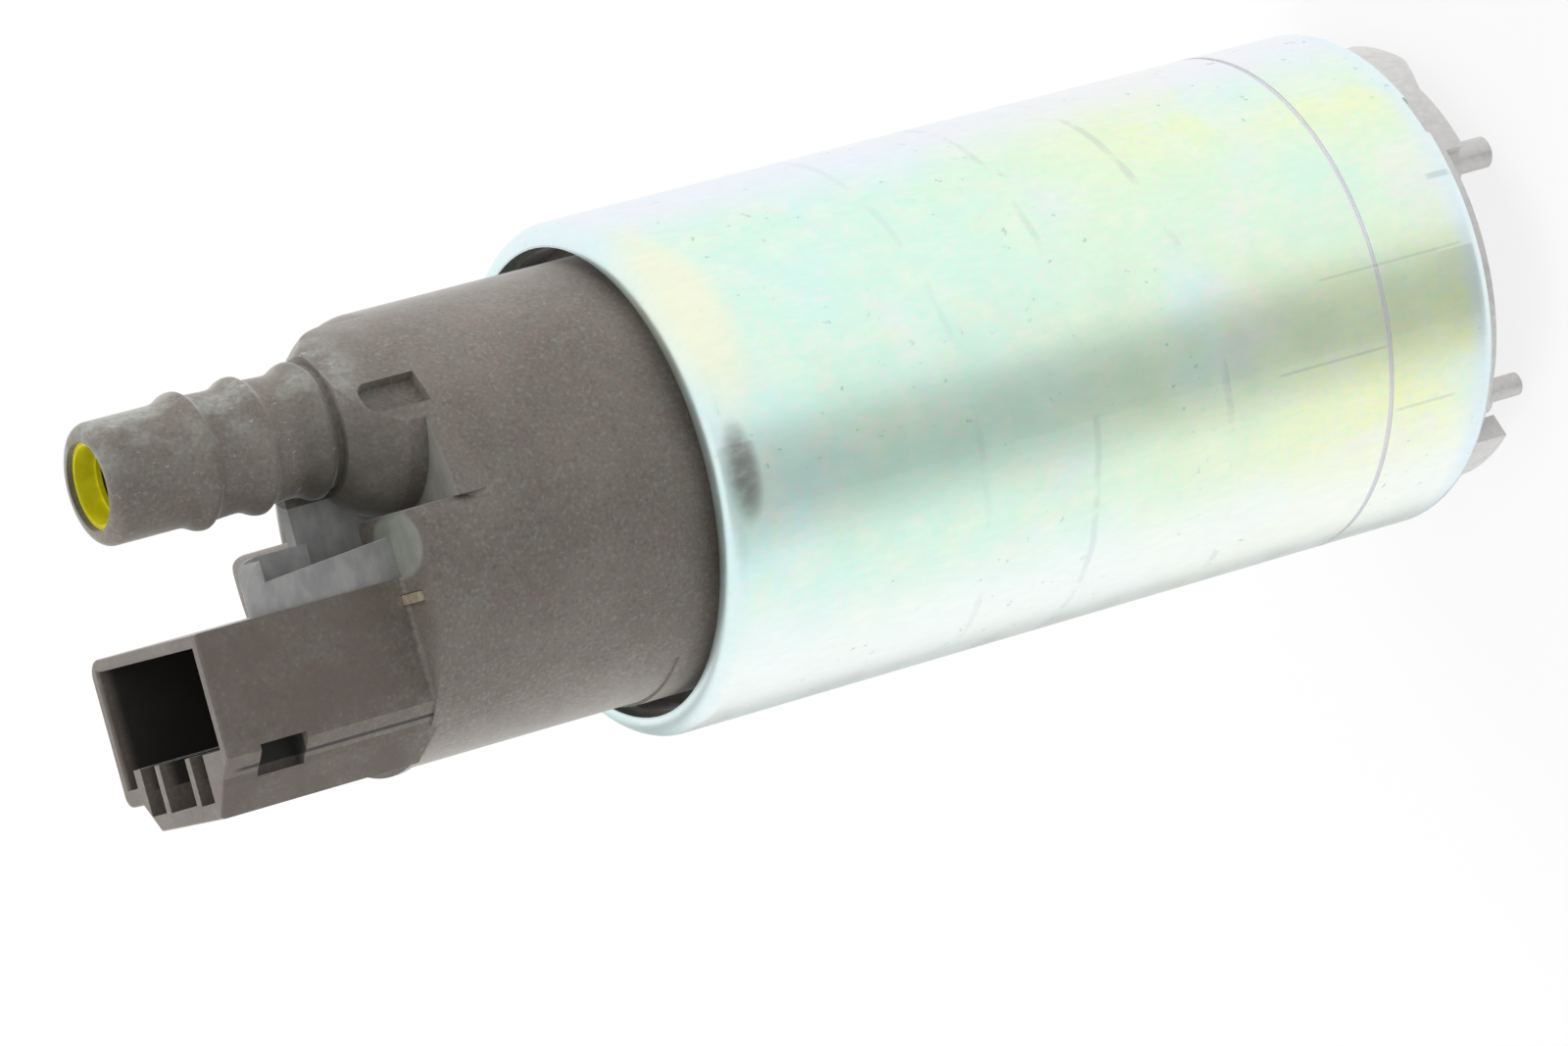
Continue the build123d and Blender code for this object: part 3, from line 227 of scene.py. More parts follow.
# %% Helpers for sums
def plug(tree, value, socket):
    """Sets a socket from another socket, from one number or from a colour of three."""
    if isinstance(value, bpy.types.NodeSocket):
        tree.links.new(value, socket)
    elif isinstance(value, tuple):
        socket.default_value = (*value, 1)
    else:
        socket.default_value = value


def sums(tree, kind, first, second=0.0):
    """One step of arithmetic on one value or two."""
    node = tree.nodes.new("ShaderNodeMath")
    node.operation = kind
    plug(tree, first, node.inputs[0])
    plug(tree, second, node.inputs[1])
    return node.outputs[0]


def times(tree, first, *others):
    """The product of two or more values."""
    for other in others:
        first = sums(tree, "MULTIPLY", first, other)
    return first


def distance(tree, first, second):
    """How far a point is from an axis, from its two distances across it."""
    return sums(tree, "SQRT", sums(tree, "ADD", times(tree, first, first), times(tree, second, second)))


def oval(tree, first, first_middle, first_half, second, second_middle, second_half):
    """0 in the middle of an oval, 1 on its border and more outside it."""
    aside = sums(tree, "DIVIDE", sums(tree, "SUBTRACT", first, first_middle), first_half)
    above = sums(tree, "DIVIDE", sums(tree, "SUBTRACT", second, second_middle), second_half)
    return sums(tree, "ADD", times(tree, aside, aside), times(tree, above, above))


print("sums ready")

# %% Helpers for patterns
def noise(tree, place, size, detail=2.0, stretch=None):
    """Cloudy noise whose patches are about that size, from 0 to 1."""
    if stretch:
        scaling = tree.nodes.new("ShaderNodeMapping")
        scaling.inputs["Scale"].default_value = stretch
        tree.links.new(place, scaling.inputs["Vector"])
        place = scaling.outputs["Vector"]
    texture = add_node(tree, "TexNoise", Scale=1 / size, Detail=detail, Roughness=0.55)
    tree.links.new(place, texture.inputs["Vector"])
    return texture.outputs["Fac"]


def ramp(tree, value, low, high, out_low=0.0, out_high=1.0):
    """Carries a value smoothly from one range to another, and stops at its ends."""
    node = tree.nodes.new("ShaderNodeMapRange")
    node.interpolation_type = "SMOOTHSTEP"
    for socket, number in zip(("From Min", "From Max", "To Min", "To Max"), (low, high, out_low, out_high)):
        node.inputs[socket].default_value = number
    tree.links.new(value, node.inputs["Value"])
    return node.outputs["Result"]


def patches(tree, place, size, low, high, out_low=0.0, out_high=1.0, detail=3.0, stretch=None):
    """Noise of that size, carried smoothly from one range to another, so that it forms patches."""
    return ramp(tree, noise(tree, place, size, detail, stretch), low, high, out_low, out_high)


def between(tree, value, low, high, soft):
    """1 between two limits and 0 outside them, with soft borders of that width."""
    rise = ramp(tree, value, low - soft, low)
    fall = ramp(tree, value, high, high + soft, 1.0, 0.0)
    return times(tree, rise, fall)


def blend(tree, share, first, second):
    """Mixes two colours, each a socket or three numbers, by a share."""
    node = tree.nodes.new("ShaderNodeMix")
    node.data_type = "RGBA"
    plug(tree, share, node.inputs[0])
    plug(tree, first, node.inputs[6])
    plug(tree, second, node.inputs[7])
    return node.outputs[2]


def bump(tree, shader, height, distance, strength=0.5):
    """Roughens the shading by a height from 0 to 1 that stands for that real distance."""
    node = add_node(tree, "Bump", Strength=strength, Distance=distance)
    tree.links.new(height, node.inputs["Height"])
    tree.links.new(node.outputs["Normal"], shader.inputs["Normal"])
    return node


print("pattern helpers ready")

# %% [markdown]
# The floor is plain and pale. It could be lit until it turns white, but that would also burn out
# the pump, so the camera sees its own white with the shadow kept, and other rays see a plain
# white floor. It stays out of the plating's reflections, because the white sky stands there.

# %% Floor
floor_size = 6.0
floor_own_white = 0.80
bpy.ops.mesh.primitive_plane_add(size=floor_size, location=(0, 0, 0))
floor = bpy.context.active_object
floor.name = "floor"
floor_material, tree, shader = new_material("floor_white", (0.86, 0.86, 0.86), 0.0, 0.9)
shader.inputs["Specular IOR Level"].default_value = 0.0
floor_glow = add_node(tree, "Emission", Color=(1, 1, 1, 1))
floor_mix = tree.nodes.new("ShaderNodeMixShader")
floor_rays = tree.nodes.new("ShaderNodeLightPath")
tree.links.new(times(tree, floor_rays.outputs["Is Camera Ray"], floor_own_white), floor_mix.inputs[0])
tree.links.new(shader.outputs[0], floor_mix.inputs[1])
tree.links.new(floor_glow.outputs[0], floor_mix.inputs[2])
tree.links.new(floor_mix.outputs[0], tree.nodes["Material Output"].inputs["Surface"])
floor.data.materials.append(floor_material)
floor.visible_glossy = False
bpy.ops.object.select_all(action="DESELECT")
print("floor:", floor_size, "m")

# %% [markdown]
# A plated tube in an all-white tent would look like paper. A photographer stands a grey card
# beside it, and its soft reflection draws the long band that tells the eye it is metal. One card
# serves the front and another the back. Each is darkest in its middle and fades out towards its
# sides, so that the band has no hard border. Reflections alone see the cards.

# %% Grey cards
def grey_card(name, bearing, half_angle, fade_first, fade_last, tone):
    """A tall card that faces the pump from that bearing, with faded sides, all in degrees."""
    away = 420 * mm
    tall = 1600 * mm
    bpy.ops.mesh.primitive_plane_add(size=1)
    card = bpy.context.active_object
    card.name = name
    card.data.transform(Matrix.Diagonal((tall, 2 * away * math.tan(math.radians(half_angle)), 1, 1)))
    card.data.transform(Matrix.Rotation(math.radians(90), 4, "Y"))
    card.data.transform(Matrix.Translation((away, 0, 0)))
    card.data.transform(Matrix.Rotation(math.radians(bearing), 4, "Z"))
    material, tree, shader = new_material(name + "_paint", (0.02, 0.02, 0.02), 0.0, 1.0)
    turned = add_node(tree, "Mapping", Rotation=(0, 0, math.radians(-bearing)))
    tree.links.new(tree.nodes.new("ShaderNodeTexCoord").outputs["Object"], turned.inputs["Vector"])
    apart = tree.nodes.new("ShaderNodeSeparateXYZ")
    tree.links.new(turned.outputs["Vector"], apart.inputs[0])
    angle = sums(tree, "ARCTAN2", apart.outputs["Y"], apart.outputs["X"])
    side = math.radians(half_angle)
    first_side = ramp(tree, angle, -side, math.radians(fade_first) - side, 1.0, 0.0)
    last_side = ramp(tree, angle, side - math.radians(fade_last), side, 0.0, 1.0)
    glow = add_node(tree, "Emission")
    shade = blend(tree, sums(tree, "MAXIMUM", first_side, last_side), tone, (1.0, 1.0, 1.0))
    tree.links.new(shade, glow.inputs["Color"])
    tree.links.new(glow.outputs[0], tree.nodes["Material Output"].inputs["Surface"])
    card.data.materials.append(material)
    card.visible_camera = False
    card.visible_diffuse = False
    card.visible_shadow = False
    card.visible_transmission = False
    bpy.ops.object.select_all(action="DESELECT")


grey_card("card_front", -23.0, 31.0, 22.0, 11.0, (0.54, 0.56, 0.55))
grey_card("card_back", 208.0, 17.0, 9.0, 12.0, (0.50, 0.52, 0.51))
print("cards: 2")

# %% [markdown]
# Zinc plating is a thin bright film with a passivation over it, whose thickness tints the light:
# sea green where it is thin, yellow-green where it is thicker, faintly lilac at the edges of a
# patch. A thin-film shader could compute this, but the real patches are uneven, so soft noise
# mixes the tints along the tube, from patches as wide as a thumb down to coloured grain.

# %% Zinc plating
zinc, tree, shader = new_material("zinc_plating", (0.71, 0.90, 0.82), 1.0, 0.32)
place, x, y, z = object_place(tree)
bearing = sums(tree, "ARCTAN2", y, x)
distance_out = distance(tree, x, y)
sea_green = (0.71, 0.97, 0.85)
yellow_green = (0.92, 0.98, 0.59)
sky_blue = (0.70, 0.95, 0.99)
lilac = (0.91, 0.89, 1.00)
pale_yellow = (0.93, 0.98, 0.76)
mint = (0.66, 0.97, 0.78)
pink = (0.99, 0.88, 0.90)
along = ramp(tree, z, 18 * mm, 62 * mm, 1.0, 0.0)
yellow_share = times(tree, along, patches(tree, place, 30 * mm, 0.28, 0.60, stretch=(1, 1, 0.6)))
tint = blend(tree, yellow_share, sea_green, yellow_green)
# Each tint: size of its patches in mm, their stretch, the noise they start and end at, largest share
tints = (
    (14.0, None, 0.46, 0.66, 0.75, sky_blue),
    (12.0, (1.3, 0.8, 1), 0.54, 0.72, 0.55, lilac),
    (3.5, None, 0.40, 0.70, 0.45, pale_yellow),
    (0.9, None, 0.48, 0.66, 0.30, mint),
    (0.7, (1, 1, 0.8), 0.50, 0.68, 0.30, pink),
)
for size, stretch, low, high, most, colour in tints:
    tint = blend(tree, patches(tree, place, size * mm, low, high, 0.0, most, stretch=stretch), tint, colour)
print("tints mixed along the tube:", 2 + len(tints))

# %% [markdown]
# Along the tube's upper flank a lilac sheen is painted, and along its lower flank a near-white
# highlight is painted. The rolled foot gets a painted highlight of pale blue, and a lilac film has
# settled in the groove above it. Separate materials could mark these off, but their borders are
# soft, so each is a share worked out from the place.

# %% Flanks, foot and groove of the tube, with painted sheen and highlights
# Painted sheen: a lilac tint along the upper flank.
painted_upper_sheen = between(tree, bearing, math.radians(72), math.radians(94), math.radians(24))
tint = blend(tree, times(tree, painted_upper_sheen, 0.75), tint, lilac)
# Painted highlight: the lower flank turns near white.
painted_lower_highlight = between(tree, bearing, math.radians(-92), math.radians(-56), math.radians(26))
tint = blend(tree, times(tree, painted_lower_highlight, 0.8), tint, (0.97, 1.0, 0.99))
# Painted highlight: the rolled foot turns pale blue.
painted_foot_highlight = ramp(tree, z, tube_low.z + 1.5 * mm, tube_low.z + 3.5 * mm, 0.8, 0.0)
tint = blend(tree, painted_foot_highlight, tint, (0.80, 0.92, 0.97))
groove = ramp(tree, distance_out, tube_radius - 0.10 * mm, tube_radius - 0.02 * mm, 1.0, 0.0)
on_straight = between(tree, z, tube_low.z + 4.0 * mm, tube_high.z - 4.0 * mm, 1.0 * mm)
tint = blend(tree, times(tree, groove, 0.9, on_straight), tint, (0.93, 0.91, 0.97))
print("flanks: 2")

# %% [markdown]
# A few handling marks cross the tube: fine straight scratches, faint broken rings from the rolls
# and dark specks. Scratches could be cut into the mesh, but they are thinner than a hair, so each
# is a soft window in the angle round the tube and the height along it.

# %% Scratches, rings and specks
# Each scratch: angle round the tube in degrees, lower end, upper end and width in mm, darkness
scratches = (
    (0.8, 9.8, 23.4, 0.14, 0.30),
    (-17.4, 18.8, 28.9, 0.16, 0.34),
    (-33.2, 12.0, 17.1, 0.20, 0.30),
    (17.0, 8.4, 9.9, 0.35, 0.45),
)
for angle, low, high, width, darkness in scratches:
    half = width * mm / tube_radius / 2
    across = between(tree, bearing, math.radians(angle) - half, math.radians(angle) + half, half)
    lengthwise = between(tree, z, low * mm, high * mm, 0.8 * mm)
    tint = blend(tree, times(tree, across, lengthwise, darkness), tint, (0.42, 0.50, 0.50))
# Each ring: height at bearing 0 in mm, lean in mm per radian, width in mm, darkness
rings = ((47.4, 0.0, 0.3, 0.22), (34.8, 1.7, 0.4, 0.30), (58.6, 0.8, 0.3, 0.12))
wander = patches(tree, place, 12 * mm, 0.2, 0.8, -0.3 * mm, 0.3 * mm, detail=2.0)
broken = patches(tree, place, 6 * mm, 0.46, 0.60, detail=4.0)
for height, lean, width, darkness in rings:
    leaning = sums(tree, "SUBTRACT", sums(tree, "ADD", z, wander), times(tree, bearing, lean * mm))
    ring = between(tree, leaning, height * mm, (height + width) * mm, 0.3 * mm)
    tint = blend(tree, times(tree, ring, broken, darkness), tint, (0.42, 0.50, 0.52))
specks = patches(tree, place, 0.9 * mm, 0.69, 0.73, detail=2.0)
speck_places = patches(tree, place, 16 * mm, 0.46, 0.58, detail=2.0)
tint = blend(tree, times(tree, specks, speck_places, 0.45), tint, (0.38, 0.42, 0.45))
print("scratches:", len(scratches), "rings:", len(rings))

# %% [markdown]
# The mouth of the tube is rolled in over the cap. Its edge gets a painted highlight of pale blue,
# with a fine dark line. Drips have dried on the shoulder below as a yellowish patch, and beside it
# a dark smudge is painted where the grey card's band starts: a painted reflection. A picture of
# the stain could be laid on, but a round patch with a soft border says as much.

# %% Rolled mouth of the tube
def round_patch(angle, height, half_angle, half_height):
    """A soft round patch on the tube: 1 in its middle, 0 past its border. Angles in degrees."""
    reach = oval(tree, bearing, math.radians(angle), math.radians(half_angle), z, height, half_height)
    return ramp(tree, reach, 0.0, 1.0, 1.0, 0.0)


# Painted highlight: the rolled edge turns pale blue.
on_edge = ramp(tree, z, tube_high.z - 1.6 * mm, tube_high.z - 0.5 * mm)
tint = blend(tree, times(tree, on_edge, 0.6), tint, (0.78, 0.95, 0.97))
yellow_patch = round_patch(33, tube_high.z - 3.0 * mm, 34, 4.2 * mm)
tint = blend(tree, times(tree, yellow_patch, 0.8), tint, (0.97, 0.95, 0.74))
# Painted reflection: a dark smudge where the grey card's band starts on the shoulder.
painted_reflection_smudge = round_patch(-6, tube_high.z - 2.2 * mm, 13, 1.8 * mm)
smudge_grain = patches(tree, place, 0.9 * mm, 0.25, 0.60, 0.50, 0.75, detail=4.0, stretch=(1, 1, 0.5))
tint = blend(tree, times(tree, painted_reflection_smudge, 1.3, smudge_grain), tint, (0.30, 0.32, 0.30))
edge_line = between(tree, distance_out, 19.55 * mm, 19.70 * mm, 0.12 * mm)
tint = blend(tree, times(tree, edge_line, on_edge, 0.45), tint, (0.40, 0.48, 0.48))
print("rolled mouth at, mm:", round(tube_high.z / mm, 1))

# %% [markdown]
# Rolled sheet has a fine grain along the tube. It darkens the film a little, breaks up the gloss
# and gives the metal a relief of a hundredth of a millimetre or two, too fine for the mesh.

# %% Grain and gloss of the plating
grain = noise(tree, place, 0.6 * mm, 4.0, (1, 1, 0.35))
tint = blend(tree, ramp(tree, grain, 0.25, 0.8, 0.08, 0.0), tint, (0.48, 0.56, 0.52))
tree.links.new(tint, shader.inputs["Base Color"])
tree.links.new(patches(tree, place, 4 * mm, 0.3, 0.7, 0.28, 0.36), shader.inputs["Roughness"])
relief = bump(tree, shader, noise(tree, place, 1.2 * mm, 3.0, (1, 1, 0.3)), 0.02 * mm, 0.22)
print("grain size, mm: 0.6")

# %% [markdown]
# The model's tube is made of flat strips, and a mirror shows their borders as straight kinks. A
# subdivision could not round them, because the mesh stays as it is. The true direction of a
# round wall is known, though: it points straight away from the axis. It takes the place of the
# mesh's own direction all along the wall, and leaves the rolled edges and the groove alone.

# %% Round wall of the tube
straight_out = tree.nodes.new("ShaderNodeCombineXYZ")
tree.links.new(x, straight_out.inputs["X"])
tree.links.new(y, straight_out.inputs["Y"])
unit_out = tree.nodes.new("ShaderNodeVectorMath")
unit_out.operation = "NORMALIZE"
tree.links.new(straight_out.outputs[0], unit_out.inputs[0])
to_world = tree.nodes.new("ShaderNodeVectorTransform")
to_world.vector_type = "NORMAL"
to_world.convert_from = "OBJECT"
to_world.convert_to = "WORLD"
tree.links.new(unit_out.outputs[0], to_world.inputs[0])
off_edges = between(tree, z, tube_low.z + 5.0 * mm, tube_high.z - 4.0 * mm, 0.6 * mm)
off_groove = ramp(tree, distance_out, tube_radius - 0.12 * mm, tube_radius - 0.06 * mm)
wall_direction = tree.nodes.new("ShaderNodeMix")
wall_direction.data_type = "VECTOR"
tree.links.new(times(tree, off_edges, off_groove), wall_direction.inputs[0])
tree.links.new(tree.nodes.new("ShaderNodeNewGeometry").outputs["Normal"], wall_direction.inputs[4])
tree.links.new(to_world.outputs[0], wall_direction.inputs[5])
tree.links.new(wall_direction.outputs[1], relief.inputs["Normal"])
dress(["housing"], zinc)
print("plated:", nodes["housing"].name)

# %% [markdown]
# The end cap is a glass-filled moulding in one brown-grey plastic, but its skin differs by
# place. Most of it was spark-eroded in the mould: matt, with fine mottling where fibres lie
# under the skin. The tower, the web and the flat beside them came from polished steel and are
# smoother and paler. One material does both, and shares them out by place on the cap.

# %% Mottled skin of the cap
cap_plastic, tree, shader = new_material("cap_plastic", (0.17, 0.145, 0.128), 0.0, 0.55)
place, x, y, z = object_place(tree)
clouds = patches(tree, place, 8 * mm, 0.35, 0.68)
ground = blend(tree, clouds, (0.156, 0.134, 0.112), (0.196, 0.172, 0.145))
green_share = patches(tree, place, 1.1 * mm, 0.48, 0.64, 0.0, 0.6)
ground = blend(tree, green_share, ground, (0.172, 0.175, 0.146))
plum_share = patches(tree, place, 1.3 * mm, 0.52, 0.68, 0.0, 0.5, stretch=(1, 0.8, 1.2))
ground = blend(tree, plum_share, ground, (0.172, 0.134, 0.126))
fibres = noise(tree, place, 0.34 * mm, 3.0)
ground = blend(tree, ramp(tree, fibres, 0.52, 0.70, 0.0, 0.38), ground, (0.31, 0.30, 0.26))
ground = blend(tree, ramp(tree, fibres, 0.30, 0.46, 0.40, 0.0), ground, (0.080, 0.068, 0.058))
print("mottling sizes, mm: 0.34, 1.1, 1.3 and 8")

# %% [markdown]
# Bloom is a whitish haze that fuel and handling leave on raised plastic: here on the outlet's
# barbs and on the shoulder under them. It is thin, so it only lightens the ground in patches. It
# is kept to the side of the outlet that faces the upper lamp, so there it is partly painted light.

# %% Bloom and painted light on the outlet
from_axis_x = sums(tree, "SUBTRACT", x, outlet_x)
from_axis_y = sums(tree, "SUBTRACT", y, outlet_y)
from_axis = distance(tree, from_axis_x, from_axis_y)
on_outlet = ramp(tree, from_axis, 7.2 * mm, 8.8 * mm, 1.0, 0.0)
above_cap = ramp(tree, z, cap_front + 1 * mm, cap_front + 5 * mm)
# Painted light: the haze is kept to the side of the outlet that faces the upper lamp.
lamp_side = ramp(tree, from_axis_y, -1.5 * mm, 4.0 * mm)
haze_places = patches(tree, place, 2.8 * mm, 0.40, 0.62, detail=5.0, stretch=(1, 1, 0.7))
haze_grain = patches(tree, place, 0.5 * mm, 0.36, 0.62, 0.45, 1.0)
haze_and_painted_light = times(tree, on_outlet, above_cap, lamp_side, haze_places, haze_grain, 0.75)
ground = blend(tree, haze_and_painted_light, ground, (0.350, 0.370, 0.335))
flecks = patches(tree, place, 1.2 * mm, 0.66, 0.74, stretch=(1, 1.6, 1))
ground = blend(tree, times(tree, on_outlet, above_cap, flecks, 0.55), ground, (0.50, 0.51, 0.49))
print("outlet axis, mm:", round(outlet_x / mm, 1), round(outlet_y / mm, 1))

# %% [markdown]
# Painted shade darkens the valley round the outlet's foot, most on the side of the pipe sheltered
# from the upper lamp, and it darkens the socket's walls. It darkens and warms the plastic there,
# in patches.

# %% Painted shade on the cap
# Painted shade in the valley round the outlet's foot.
valley = between(tree, z, cap_front + 1.5 * mm, cap_front + 8.2 * mm, 2.2 * mm)
sheltered = ramp(tree, from_axis_y, -4.5 * mm, 2.5 * mm, 1.0, 0.15)
shade_places = patches(tree, place, 3 * mm, 0.25, 0.60, 0.65, 1.0)
valley_shade = times(tree, valley, sheltered, shade_places, on_outlet, 0.72)
ground = blend(tree, valley_shade, ground, (0.045, 0.042, 0.034))
# Painted shade on the socket's walls.
socket_side = between(tree, y, -18.0 * mm, -3.2 * mm, 0.1 * mm)
socket_height = ramp(tree, z, step_front + 0.4 * mm, step_front + 2.5 * mm)
socket_shade_patches = patches(tree, place, 4 * mm, 0.30, 0.62, 0.25, 0.75, detail=4.0)
ground = blend(tree, times(tree, socket_side, socket_height, socket_shade_patches), ground, (0.112, 0.088, 0.074))
print("dirt from, mm:", round(cap_front / mm, 1))

# %% [markdown]
# The polished areas are whole faces of the moulding. They could have a material of their own,
# but then grain and painted shade would stop at its border, so each face is picked out by its
# place and, where two faces meet, by the way it looks. The low flat that faces the outlet end is
# polished, and is painted paler as painted light.

# %% Polished web and tower
facing = tree.nodes.new("ShaderNodeSeparateXYZ")
tree.links.new(tree.nodes.new("ShaderNodeTexCoord").outputs["Normal"], facing.inputs[0])
faces_sideways = ramp(tree, sums(tree, "ABSOLUTE", facing.outputs["X"]), 0.90, 0.97)
web_width = between(tree, x, 5.30 * mm, 7.10 * mm, 0.04 * mm)
web_depth = between(tree, y, -3.08 * mm, 9.0 * mm, 0.04 * mm)
web_top = ramp(tree, z, cap_front + 9.2 * mm, cap_front + 9.28 * mm)
web_faces = sums(tree, "MAXIMUM", faces_sideways, web_top)
off_pipe = ramp(tree, from_axis, 5.7 * mm, 5.8 * mm)
above_front = ramp(tree, z, cap_front + 0.1 * mm, cap_front + 0.3 * mm)
web_share = times(tree, web_width, web_faces, web_depth, off_pipe, above_front)
tower_width = between(tree, x, 7.12 * mm, 12.35 * mm, 0.04 * mm)
tower_depth = between(tree, y, -3.08 * mm, 1.5 * mm, 0.08 * mm)
above_step = ramp(tree, z, step_front + 0.1 * mm, step_front + 0.3 * mm)
tower_share = times(tree, tower_width, tower_depth, above_step)
upright_share = sums(tree, "MAXIMUM", tower_share, web_share)
print("polished: web and tower")

# %% Polished flats
flat_reach = oval(tree, x, 13.2 * mm, 4.1 * mm, y, -0.6 * mm, 2.6 * mm)
flat_height = between(tree, z, step_front - 0.9 * mm, step_front + 0.3 * mm, 0.1 * mm)
flat_share = times(tree, ramp(tree, flat_reach, 0.85, 1.25, 1.0, 0.0), flat_height)
# The low flat: polished, and painted paler as painted light.
low_flat_height = between(tree, z, cap_front - 0.3 * mm, cap_front + 0.3 * mm, 0.1 * mm)
low_flat_side = ramp(tree, x, 6.0 * mm, 8.0 * mm)
faces_outlet_end = ramp(tree, facing.outputs["Z"], 0.85, 0.97)
low_flat_polish_and_light = times(tree, low_flat_height, low_flat_side, 0.6, faces_outlet_end)
soft_grain = patches(tree, place, 1.6 * mm, 0.3, 0.7, detail=4.0, stretch=(0.7, 0.7, 1.3))
pale_green = blend(tree, soft_grain, (0.235, 0.246, 0.215), (0.310, 0.322, 0.285))
pale_grey = blend(tree, soft_grain, (0.250, 0.256, 0.252), (0.345, 0.350, 0.342))
ground = blend(tree, sums(tree, "MAXIMUM", flat_share, low_flat_polish_and_light), ground, pale_green)
ground = blend(tree, upright_share, ground, pale_grey)
polished = sums(tree, "MAXIMUM", flat_share, upright_share)
print("polished: two flats")

# %% [markdown]
# The inside of the socket and of the outlet's bore is out of the light, so it looks nearly black.
# The room inside would darken it a little by itself. Painted shade that starts just inside the
# mouth does the rest.

# %% Painted shade inside the socket and the bore
well_width = between(tree, x, -8.35 * mm, 11.35 * mm, 0.02 * mm)
well_side = between(tree, y, -14.2 * mm, -4.15 * mm, 0.02 * mm)
well_depth = ramp(tree, z, socket_mouth - 1.6 * mm, socket_mouth - 0.35 * mm, 1.0, 0.0)
well_floor = ramp(tree, z, step_front - 4 * mm, step_front - 2 * mm)
in_well = times(tree, well_width, well_side, well_depth, well_floor)
in_bore = ramp(tree, from_axis, 3.5 * mm, 3.62 * mm, 1.0, 0.0)
# Painted shade: nearly black inside the well and the bore.
inside_shade_share = times(tree, sums(tree, "MAXIMUM", in_well, times(tree, in_bore, 0.75)), 0.94)
ground = blend(tree, inside_shade_share, ground, (0.012, 0.012, 0.011))
print("socket mouth at, mm:", round(socket_mouth / mm, 1))

# %% [markdown]
# An eroded skin scatters light that grazes it, so the cap's outline is paler than its middle. A
# brighter lamp behind it could do this too, but it would also burn out the tube, so the skin gets
# a sheen. Its relief is a few hundredths of a millimetre, and nearly none where it is polished.

# %% Gloss and grain of the cap
tree.links.new(ground, shader.inputs["Base Color"])
matt = patches(tree, place, 1.5 * mm, 0.3, 0.7, 0.50, 0.62)
tree.links.new(blend(tree, polished, matt, (0.44, 0.44, 0.44)), shader.inputs["Roughness"])
shader.inputs["Sheen Weight"].default_value = 0.7
shader.inputs["Sheen Roughness"].default_value = 0.30
eroded = ramp(tree, polished, 0.0, 1.0, 1.0, 0.15)
bump(tree, shader, times(tree, noise(tree, place, 0.45 * mm, 3.0), eroded), 0.04 * mm, 0.5)
dress(["end_cap"], cap_plastic)
print("moulded:", nodes["end_cap"].name)

# %% [markdown]
# The suction cover and the pump body are die-cast aluminium: pale, matt and grainy, with
# slightly darker patches in its skin. Full metal would mirror the white tent and lose the grain,
# and a blasted casting scatters more than it mirrors, so it is only partly metallic.

# %% Cast aluminium
cast, tree, shader = new_material("cast_aluminium", (0.70, 0.69, 0.68), 0.6, 0.55)
place = object_place(tree)[0]
skin = noise(tree, place, 0.7 * mm, 4.0)
tone = blend(tree, ramp(tree, skin, 0.3, 0.7), (0.64, 0.63, 0.62), (0.75, 0.74, 0.73))
stains = patches(tree, place, 6 * mm, 0.55, 0.75, 0.0, 0.18)
tone = blend(tree, stains, tone, (0.50, 0.48, 0.46))
tree.links.new(tone, shader.inputs["Base Color"])
tree.links.new(ramp(tree, skin, 0.3, 0.7, 0.50, 0.66), shader.inputs["Roughness"])
bump(tree, shader, skin, 0.03 * mm, 0.4)
dress(["suction_cover", "pump_body"], cast)
print("cast:", nodes["suction_cover"].name, nodes["pump_body"].name)

# %% [markdown]
# Most small pieces inside share one recipe: a colour that wavers around its own, and a bump of a
# third of that scale. Each gets its own colour, gloss and scale. One material for all would be
# less to write, but a bronze bush and a ferrite magnet are told apart by exactly these.

# %% Plain finishes of the small pieces
def plain_finish(name, colour, metallic, roughness, spread, size, names):
    """A finish whose colour wavers a little around its own, in patches of that size."""
    material, tree, shader = new_material(name, colour, metallic, roughness)
    place = object_place(tree)[0]
    cloud = patches(tree, place, size, 0.3, 0.7)
    low = tuple(c * (1 - spread) for c in colour)
    high = tuple(min(1.0, c * (1 + spread)) for c in colour)
    tree.links.new(blend(tree, cloud, low, high), shader.inputs["Base Color"])
    bump(tree, shader, noise(tree, place, size / 3, 2.0), size * 0.03, 0.3)
    dress(names, material)
    return material


phenolic_pieces = ["impeller", "valve_piston", "lower_spacer", "upper_spacer"]
ferrite_pieces = ["magnet_right", "magnet_left", "choke_core_positive", "choke_core_negative"]
terminals = ["terminal_positive", "terminal_negative"]
clips = ["clip_front", "clip_back"]
bearings = ["lower_bearing", "upper_bearing"]
plain_finish("phenolic", (0.10, 0.075, 0.06), 0.0, 0.5, 0.2, 0.6 * mm, phenolic_pieces)
spring_wire = plain_finish("spring_wire", (0.45, 0.45, 0.46), 1.0, 0.3, 0.08, 0.6 * mm, clips)
plain_finish("sintered_bronze", (0.50, 0.33, 0.16), 1.0, 0.55, 0.2, 0.4 * mm, bearings)
plain_finish("ferrite", (0.055, 0.055, 0.06), 0.0, 0.6, 0.2, 0.7 * mm, ferrite_pieces)
plain_finish("stamped_brass", (0.60, 0.49, 0.27), 1.0, 0.35, 0.10, 0.9 * mm, terminals)
plain_finish("tinned_copper", (0.62, 0.56, 0.42), 0.7, 0.5, 0.16, 0.5 * mm, ["lead_strip"])
print("plain finishes: 6")

# %% [markdown]
# Three coil springs press on moving pieces: one closes the outlet's valve and two push the
# brushes. In the model they are open coils that can't shorten. A real one has its last turn
# laid flat against the next, so that it stands square, and it shortens as its piece moves. A
# curve with a round bevel could draw it, but a circle carried round by a Screw modifier is
# simpler: one stretch of close turns, one of open turns and one of close turns again.

